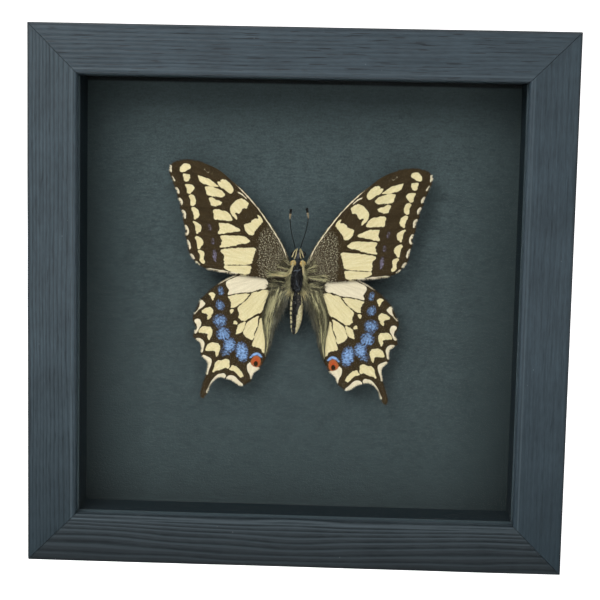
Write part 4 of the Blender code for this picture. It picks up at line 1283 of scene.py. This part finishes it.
# %% Turned surfaces with segments
# Up, half width, half depth, height off the card and shift to the right, in mm.
HEAD_SECTIONS = [
    (10.9, 0.7, 0.6, 4.0, 0.35), (11.3, 1.25, 1.1, 4.0, 0.35), (12.1, 1.45, 1.25, 3.9, 0.35),
    (12.9, 1.2, 1.0, 3.9, 0.35), (13.5, 0.55, 0.5, 3.9, 0.35),
]
THORAX_SECTIONS = [
    (2.0, 0.7, 0.9, 4.0, 0.0), (2.7, 1.6, 1.9, 4.0, 0.0), (4.4, 2.1, 2.5, 4.0, 0.0),
    (6.5, 2.2, 2.6, 4.0, 0.1), (8.6, 1.9, 2.3, 4.0, 0.2), (9.9, 1.5, 1.8, 4.0, 0.3),
    (10.7, 0.8, 0.9, 4.0, 0.35),
]
ABDOMEN_SECTIONS = [
    (2.0, 0.9, 1.1, 3.6, 0.0), (0.8, 1.55, 1.6, 3.6, 0.05), (-1.5, 1.88, 1.8, 3.5, 0.1),
    (-4.0, 1.92, 1.8, 3.3, 0.13), (-6.5, 1.72, 1.6, 3.1, 0.05), (-8.6, 1.28, 1.2, 3.0, -0.2),
    (-9.9, 0.8, 0.8, 2.9, -0.4), (-10.5, 0.35, 0.4, 2.9, -0.5),
]
SEGMENT = 1.32  # length of one abdomen ring, in mm
BODY_SIDES = 56


def body_point(sections, up, angle, grow=0.0):
    """Places on a body. The angle is measured from the side facing the glass, to the right, and
    the ellipse's half widths come from a curve through the sections."""
    curve = smooth_curve(sections, steps=10, closed=False)
    curve = curve[np.argsort(curve[:, 0])]
    wide, deep, height, shift = (np.interp(up, curve[:, 0], curve[:, i]) for i in (1, 2, 3, 4))
    x = shift + (wide + grow) * np.sin(angle)
    return np.stack(np.broadcast_arrays(x, up, height + (deep + grow) * np.cos(angle)), axis=-1)


def body_piece(name, sections, relief, finish):
    """A closed body: rings of points round the sections, grown by a relief, and two end faces."""
    tops = [section[0] for section in sections]
    up = np.linspace(min(tops), max(tops), 150)[:, None]
    angle = (np.arange(BODY_SIDES) / BODY_SIDES * math.tau - math.pi)[None, :]
    points = body_point(sections, up, angle, relief(up, angle))
    faces = tube_faces(*points.shape[:2])
    made = add_piece(name, specimen(*points.reshape(-1, 3).T), faces, finish, [name])
    angle, up = np.broadcast_arrays(np.degrees(angle), up)
    store(made.data, "angle", angle)
    store(made.data, "up", up)
    return made


def ring_relief(up, angle):
    """Each ring swells slowly and drops steeply on to the next, with fine wrinkles."""
    share = (up / SEGMENT) % 1.0
    swell = 0.11 * step_between(0.0, 0.25, share) * (1 - 0.55 * share)
    return swell - 0.05 + 0.03 * soft_noise(angle * 6, up * 5, 61)


def lumpy_relief(up, angle):
    """Low lumps of muscle under the cuticle."""
    return 0.13 * soft_noise(angle * 2.2, up / 0.9, 67) + 0.04 * soft_noise(angle * 6, up * 3, 68)


def stripe_limits(up):
    """The angles, in degrees, between which the abdomen's back is black."""
    right = np.interp(up, [-10.5, -9, -6, -4, -2.4, -1.2, 0.5, 2], [25, 2, -3, 8, 20, 44, 44, 50])
    left = np.interp(up, [-10.5, -9, -4, 1.0, 2], [-48, -44, -40, -34, -38])
    return left, right


def abdomen_cuticle():
    """Black back, cream sides with a dark line low on the right, and a broken white line on the
    left. The limits are ragged, because they are made of scales."""
    n = Nodes("abdomen scales")
    place = n.here()
    scale = n.noise(place, 2200.0, 2.0, 0.6)
    coarse = n.noise(place, 900.0, 2.0, 0.6)
    pale = n.math("MULTIPLY_ADD", n.swing(scale, 1), 0.35, n.attribute("pale"))
    pale = n.math("MULTIPLY_ADD", n.swing(coarse, 1), 0.5, pale)
    cream = n.mix(n.between(scale, 0.3, 0.7), (0.38, 0.32, 0.15), (0.77, 0.69, 0.42))
    black = n.mix(n.between(scale, 0.4, 0.7), (0.004, 0.0035, 0.003), (0.045, 0.040, 0.035))
    colour = n.mix(n.between(pale, 0.3, 0.7), black, cream)
    normal = n.bump(scale, 0.6, 0.00006)
    return n.finish(Base_Color=colour, Roughness=0.5, Normal=normal, Specular_IOR_Level=0.4)


def black_cuticle():
    """Black cuticle with a satin gloss and fine pits, and paler bluish patches painted on as sheen."""
    n = Nodes("black cuticle")
    place = n.here()
    pits = n.noise(place, 2600.0, 3.0, 0.6)
    sheen_patch = n.noise(place, 700.0, 2.0, 0.5)
    # Painted sheen: paler bluish patches over the black.
    colour = n.mix(n.between(sheen_patch, 0.4, 0.6), (0.006, 0.006, 0.006), (0.060, 0.064, 0.078))
    normal = n.bump(pits, 0.5, 0.00005)
    return n.finish(Base_Color=colour, Roughness=0.32, Normal=normal, Specular_IOR_Level=0.5)


CUTICLE = black_cuticle()
abdomen = body_piece("abdomen", ABDOMEN_SECTIONS, ring_relief, abdomen_cuticle())
values = {}
for key in ("angle", "up"):
    values[key] = np.empty(len(abdomen.data.vertices), np.float32)
    abdomen.data.attributes[key].data.foreach_get("value", values[key])
left, right = stripe_limits(values["up"])
break_up = step_between(0.25, 0.45, (values["up"] / SEGMENT) % 1.0) + step_between(-3.5, -1.5, values["up"])
pale_left = step_between(0, 9, left - values["angle"]) * np.clip(break_up, 0, 1)
pale_right = step_between(0, 7, values["angle"] - right) * (1 - step_between(60, 68, values["angle"]))
store(abdomen.data, "pale", np.maximum(pale_left, pale_right))
body_piece("thorax", THORAX_SECTIONS, lumpy_relief, CUTICLE)
body_piece("head", HEAD_SECTIONS, lumpy_relief, CUTICLE)
print("head, thorax and", round(12 / SEGMENT), "abdomen rings")

# %% Fur on the body
def fur(name, sections, count, seed, ups, angles, length, flow, finish, width):
    """Hairs rooted on a body between two heights and two angles in degrees. Each leans out from the
    body by a little, and flows sideways and up or down by the two lengths in flow."""
    rng = np.random.default_rng(seed)
    up, angle = rng.uniform(*ups, count), np.radians(rng.uniform(*angles, count))
    root = body_point(sections, up, angle, -0.05)
    out = body_point(sections, up, angle, 0.25) - root
    out /= np.linalg.norm(out, axis=1, keepdims=True)
    reach = length * rng.uniform(0.6, 1.3, (count, 1))
    side = np.sign(np.sin(angle))
    lean = np.stack([flow[0] * side, np.full(count, flow[1]), np.zeros(count)], axis=1)
    lean = lean + rng.normal(0, 0.16, (count, 3))
    tip = root + reach * (lean + 0.35 * out)
    middle = root + reach * (0.4 * lean + 0.38 * out)
    tint = np.clip(rng.uniform(0, 1, count) * 0.6 + 0.4 * soft_noise(angle * 5, up * 1.5, seed) + 0.1, 0, 1)
    widths = width * rng.uniform(0.7, 1.3, count)
    return strands(name, root, middle, tip, widths, finish, "body_cuticle", tint)


def shoulder_line(name, path, count, seed, finish, spread=0.10, length=1.0, width=0.11):
    """A narrow crest of hair along a path of (right, up, height) places."""
    rng = np.random.default_rng(seed)
    share = rng.uniform(0, 0.93, count)
    root = on_curve(path, share) + rng.normal(0, spread, (count, 3))
    ahead = on_curve(path, np.clip(share + 0.12, 0, 1)) - on_curve(path, share)
    ahead /= np.maximum(np.linalg.norm(ahead, axis=1, keepdims=True), 1e-6)
    reach = length * rng.uniform(0.6, 1.2, (count, 1))
    tip = root + reach * (ahead + rng.normal(0, 0.10, (count, 3)))
    middle = (root + tip) / 2 + np.array([0, 0, 0.12])
    widths = width * rng.uniform(0.7, 1.3, count)
    return strands(name, root, middle, tip, widths, finish, "body_cuticle", rng.uniform(0, 1, count))


def tuft(name, centre, count, seed, size, flow, finish):
    """A dense round tuft: roots in a small ball, tips thrown outwards from it and along a flow."""
    rng = np.random.default_rng(seed)
    ball = rng.normal(0, 1, (count, 3))
    ball /= np.linalg.norm(ball, axis=1, keepdims=True)
    ball[:, 2] = np.abs(ball[:, 2])
    root = np.array(centre) + 0.3 * size * ball
    tip = root + size * (0.7 * ball + np.array(flow)) * rng.uniform(0.25, 1.2, (count, 1))
    middle = (root + tip) / 2 + 0.15 * size * ball
    widths = rng.uniform(0.08, 0.14, count)
    return strands(name, root, middle, tip, widths, finish, "body_cuticle", rng.uniform(0, 1, count))


# Each coat: sections, hairs, seed, heights, angles, length, flow, finish and width.
THORAX, ABDOMEN, HEAD = THORAX_SECTIONS, ABDOMEN_SECTIONS, HEAD_SECTIONS
COATS = {
    "thorax_fur": (THORAX, 2600, 301, (2.3, 10.6), (-60, 60), 0.75, (0.15, -0.75), BLACK_HAIR, 0.08),
    "thorax_side_hair_left": (THORAX, 1300, 302, (2, 9), (-100, -42), 1.5, (0.35, -0.8), OLIVE_HAIR, 0.08),
    "thorax_side_hair_right": (THORAX, 1300, 303, (2, 9), (42, 100), 1.5, (0.35, -0.8), OLIVE_HAIR, 0.08),
    "waist_hair_left": (THORAX, 55, 304, (2.1, 3.4), (-88, -48), 2.6, (0.25, -0.95), CREAM_HAIR, 0.10),
    "waist_hair_right": (THORAX, 55, 305, (2.1, 3.4), (48, 88), 2.6, (0.25, -0.95), CREAM_HAIR, 0.10),
    "abdomen_scales": (ABDOMEN, 2200, 306, (-10.2, 2), (-32, 0), 0.5, (0.05, -0.9), BLACK_HAIR, 0.07),
    "head_fur": (HEAD, 700, 307, (11, 13.3), (-75, 75), 0.6, (0.1, 0.3), BLACK_HAIR, 0.08),
}
for name, coat in COATS.items():
    fur(name, *coat)
LEFT_SHOULDER = [(-0.85, 10.9, 6.0), (-1.2, 9.4, 6.3), (-1.5, 7.9, 6.3), (-2.0, 7.0, 6.0), (-2.8, 6.4, 5.7),
                 (-4.4, 6.3, 5.5), (-7.2, 6.6, 5.4)]
RIGHT_SHOULDER = [(1.55, 10.9, 6.0), (1.75, 9.4, 6.2), (1.85, 8.0, 6.0), (1.95, 6.9, 5.8), (2.2, 6.2, 5.5)]
shoulder_line("shoulder_line_left", LEFT_SHOULDER, 560, 311, CREAM_HAIR)
shoulder_line("shoulder_line_right", RIGHT_SHOULDER, 420, 312, CREAM_HAIR)
tuft("collar_tuft_left", (-0.9, 10.55, 5.6), 460, 313, 0.9, (-0.2, -0.8, 0.1), YELLOW_HAIR)
tuft("collar_tuft_right", (1.5, 10.5, 5.6), 460, 314, 0.9, (0.2, -0.8, 0.1), YELLOW_HAIR)
PALPS = {
    "palp_left": [(-0.75, 11.1, 5.4), (-0.35, 12.4, 5.3), (-0.2, 13.2, 5.0), (-0.1, 13.9, 4.5)],
    "palp_right": [(1.15, 11.1, 5.4), (0.85, 12.4, 5.3), (0.8, 13.2, 5.0), (0.85, 13.9, 4.5)],
    "eye_rim_left": [(-1.55, 11.5, 4.9), (-1.2, 12.3, 5.0), (-0.85, 13.1, 4.8), (-0.5, 13.7, 4.4)],
    "eye_rim_right": [(1.9, 11.5, 4.8), (1.65, 12.2, 5.0), (1.3, 13.0, 4.8), (1.1, 13.6, 4.4)],
}
for number, (name, path) in enumerate(PALPS.items()):
    shoulder_line(name, path, 130, 320 + number, CREAM_HAIR, spread=0.06, length=0.55, width=0.09)
# Painted sheen: two short lines of pale blue-grey hair stand for the gloss on the thorax.
PAINTED_SHEEN_HAIR = dry_hair("blue grey painted sheen", (0.06, 0.07, 0.09), (0.24, 0.27, 0.33), 0.4)
shoulder_line("collar_down", [(-0.9, 7.7, 6.45), (-0.4, 8.0, 6.6), (0.3, 8.0, 6.6), (0.9, 8.3, 6.4)],
              90, 331, PAINTED_SHEEN_HAIR, spread=0.06, length=0.5, width=0.07)
shoulder_line("thorax_down", [(-0.2, 5.4, 6.6), (0.1, 4.7, 6.55), (0.2, 4.0, 6.45)],
              90, 332, PAINTED_SHEEN_HAIR, spread=0.16, length=0.5, width=0.07)
print("fur, tufts and shoulder lines on the body")

# %% Eyes
EYES = {"eye_left": (-1.0, 12.45, 4.35), "eye_right": (1.75, 12.45, 4.35)}
EYE_RADIUS = 0.72


def eye_facets():
    """Dark glossy eye, paved with tiny lenses: cells of a Voronoi pattern raised in their middles."""
    n = Nodes("compound eye")
    cells = n.add("TexVoronoi", Vector=n.here(), Scale=14000.0, Randomness=0.2)
    colour = n.mix(n.between(cells, 0.0, 0.6), (0.03, 0.026, 0.024), (0.008, 0.006, 0.005))
    normal = n.bump(n.math("SUBTRACT", 1.0, cells), 0.4, 0.00002)
    return n.finish(Base_Color=colour, Roughness=0.22, Normal=normal, Specular_IOR_Level=0.6)


def ball(name, centre, radii, finish, slot, stands_for=()):
    """A ball from two angles: radii times (sin a cos b, sin a sin b, cos a), with small end faces."""
    rows, columns = 24, 32
    a = np.linspace(0.04, math.pi - 0.04, rows)[:, None]
    b = (np.arange(columns) / columns * math.tau)[None, :]
    unit = np.stack(np.broadcast_arrays(np.sin(a) * np.cos(b), np.sin(a) * np.sin(b), np.cos(a)), axis=-1)
    places = np.array(centre) + unit * np.array(radii)
    faces = [face[::-1] for face in tube_faces(rows, columns)]
    return add_piece(name, specimen(*places.reshape(-1, 3).T), faces, finish, stands_for)


EYE = eye_facets()
for name, centre in EYES.items():
    ball(name, centre, (EYE_RADIUS, EYE_RADIUS * 1.1, EYE_RADIUS), EYE, "body_cuticle")
print("two eyes", EYE_RADIUS * 2, "mm across")

# %% Feelers
FEELER_RINGS = 260
FEELER_SIDES = 12
# Each feeler: right, up, height off the card and radius, in mm, from the head to the club's end.
FEELERS = {
    "antenna_left": [(-0.5, 13.55, 4.0, 0.13), (-1.1, 16, 5.0, 0.12), (-1.8, 19, 5.6, 0.12),
                     (-2.2, 22.2, 5.8, 0.14), (-2.17, 23.0, 5.8, 0.27), (-2.1, 24.2, 5.8, 0.36),
                     (-2.0, 25.2, 5.8, 0.40)],
    "antenna_right": [(0.7, 13.55, 4.0, 0.13), (1.4, 16, 5.0, 0.12), (2.3, 19, 5.6, 0.12),
                      (2.95, 22.6, 5.8, 0.14), (2.85, 23.4, 5.8, 0.27), (2.65, 24.6, 5.8, 0.36),
                      (2.45, 25.6, 5.8, 0.40)],
}


def feeler_cuticle():
    """Dark rings all along, tan on the club's lower half and black at its end."""
    n = Nodes("feeler cuticle")
    share = n.attribute("along")
    tan = n.math("MULTIPLY", n.between(share, 0.75, 0.79), n.between(share, 0.885, 0.90, 1.0, 0.0))
    grain = n.noise(n.here(), 3000.0, 2.0, 0.6)
    dark = n.mix(n.between(grain, 0.4, 0.7), (0.003, 0.0025, 0.002), (0.010, 0.008, 0.006))
    light = n.mix(n.between(grain, 0.4, 0.7), (0.20, 0.15, 0.09), (0.34, 0.28, 0.18))
    return n.finish(Base_Color=n.mix(tan, dark, light), Roughness=0.55, Specular_IOR_Level=0.15)


def feeler(name, points, finish):
    """A tube along a curve: rings in planes square to it, their radius pinched at each joint."""
    share = np.linspace(0, 1, FEELER_RINGS)
    centre = on_curve(np.array(points), share)
    path, radius = centre[:, :3], centre[:, 3:]
    radius = radius * (1 - 0.10 * (np.cos(share * 46 * math.tau) > 0.3)[:, None])
    forward = np.gradient(path, axis=0)
    forward /= np.linalg.norm(forward, axis=1, keepdims=True)
    across = np.cross(forward, (0, 0, 1.0))
    across /= np.linalg.norm(across, axis=1, keepdims=True)
    third = np.cross(forward, across)
    angle = (math.tau * np.arange(FEELER_SIDES) / FEELER_SIDES)[None, :, None]
    outward = np.cos(angle) * across[:, None] + np.sin(angle) * third[:, None]
    places = path[:, None] + radius[:, None] * outward
    faces = tube_faces(FEELER_RINGS, FEELER_SIDES)
    made = add_piece(name, specimen(*places.reshape(-1, 3).T), faces, finish, [name])
    store(made.data, "along", np.repeat(share, FEELER_SIDES))
    return made


FEELER = feeler_cuticle()
for name, points in FEELERS.items():
    feeler(name, points, FEELER)


def set_glue():
    """Set glue: clear and slightly yellow, with a smooth skin."""
    n = Nodes("set glue")
    ripple = n.noise(n.here(), 1200.0, 1.0, 0.5)
    return n.finish(Base_Color=(0.75, 0.70, 0.55), Roughness=0.2, Normal=n.bump(ripple, 0.4, 0.00008),
                    Subsurface_Weight=0.3)


dress("glue_bead", set_glue())
print("two feelers and the glue under the thorax")


# %% [markdown]
# ## The back
#
# The panel is bare hardboard: pressed brown fibres, matt, with a fleck of darker and paler ones. The
# tabs, the hanger with its rivets and the corner nails are bright zinc plate, a little cloudy.

# %% Hardboard and zinc
def hardboard():
    """Pressed fibres: a coarse and a fine fleck over a cloudy brown."""
    n = Nodes("hardboard")
    place = n.here()
    level = n.noise(place, 900.0, 4.0, 0.7)
    fleck = n.noise(place, 2400.0, 2.0, 0.6)
    cloud = n.noise(place, 60.0, 3.0, 0.6)
    tone = n.math("ADD", n.swing(level, 0.35), n.swing(fleck, 0.35))
    tone = n.math("ADD", tone, n.swing(cloud, 0.25))
    colour = n.mix(n.between(tone, -0.8, 0.8), (0.16, 0.085, 0.040), (0.38, 0.25, 0.145))
    normal = n.bump(n.math("ADD", level, fleck), 0.5, 0.00010)
    return n.finish(Base_Color=colour, Roughness=0.75, Normal=normal, Specular_IOR_Level=0.3)


def zinc_plate():
    """Thin bright plate: metal whose tone and roughness drift in patches a few millimetres wide."""
    n = Nodes("zinc plate")
    place = n.here()
    patch = n.noise(place, 380.0, 3.0, 0.6)
    scuff = n.noise(place, 900.0, 2.0, 0.6, stretch=(0.2, 1.0, 1.6))
    tone = n.math("ADD", n.between(patch, 0.3, 0.7, 0.0, 0.6), n.between(scuff, 0.3, 0.7, 0.0, 0.4))
    colour = n.mix(tone, (0.42, 0.43, 0.45), (0.64, 0.65, 0.67))
    normal = n.bump(scuff, 0.25, 0.00004)
    return n.finish(Base_Color=colour, Metallic=1.0, Roughness=n.between(tone, 0.0, 1.0, 0.42, 0.26),
                    Normal=normal)


dress("back_panel", hardboard())
ZINC = zinc_plate()
STEEL_NODES = [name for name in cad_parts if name.startswith(("tab_", "hanger_", "sawtooth"))]
for name in STEEL_NODES:
    dress(name, ZINC)
print("hardboard panel and", len(STEEL_NODES), "pieces of zinc plated steel")


# %% Corner nails
NAIL_PROUD = 0.04 * MM


def driven_nail(name):
    """A corner nail as it shows in the wood: the solid's own points, merged where they coincide and
    moved along the depth until the nail's end stands just proud of the rails' backs."""
    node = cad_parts[name]
    corners = np.array([node.matrix_world @ vertex.co for vertex in node.data.vertices])
    corners[:, 1] += BACK_Y + NAIL_PROUD - corners[:, 1].max()
    points, merged = np.unique(np.round(corners, 7), axis=0, return_inverse=True)
    merged = merged.ravel()
    faces = [[int(merged[i]) for i in face.vertices] for face in node.data.polygons]
    return add_piece(name + "_driven", points, faces, ZINC, [name], smooth=False)


NAILS = [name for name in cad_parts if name.startswith("corner_nail")]
for name in NAILS:
    driven_nail(name)
print(len(NAILS), "corner nails stand", round(NAIL_PROUD / MM, 2), "mm proud of the wood")
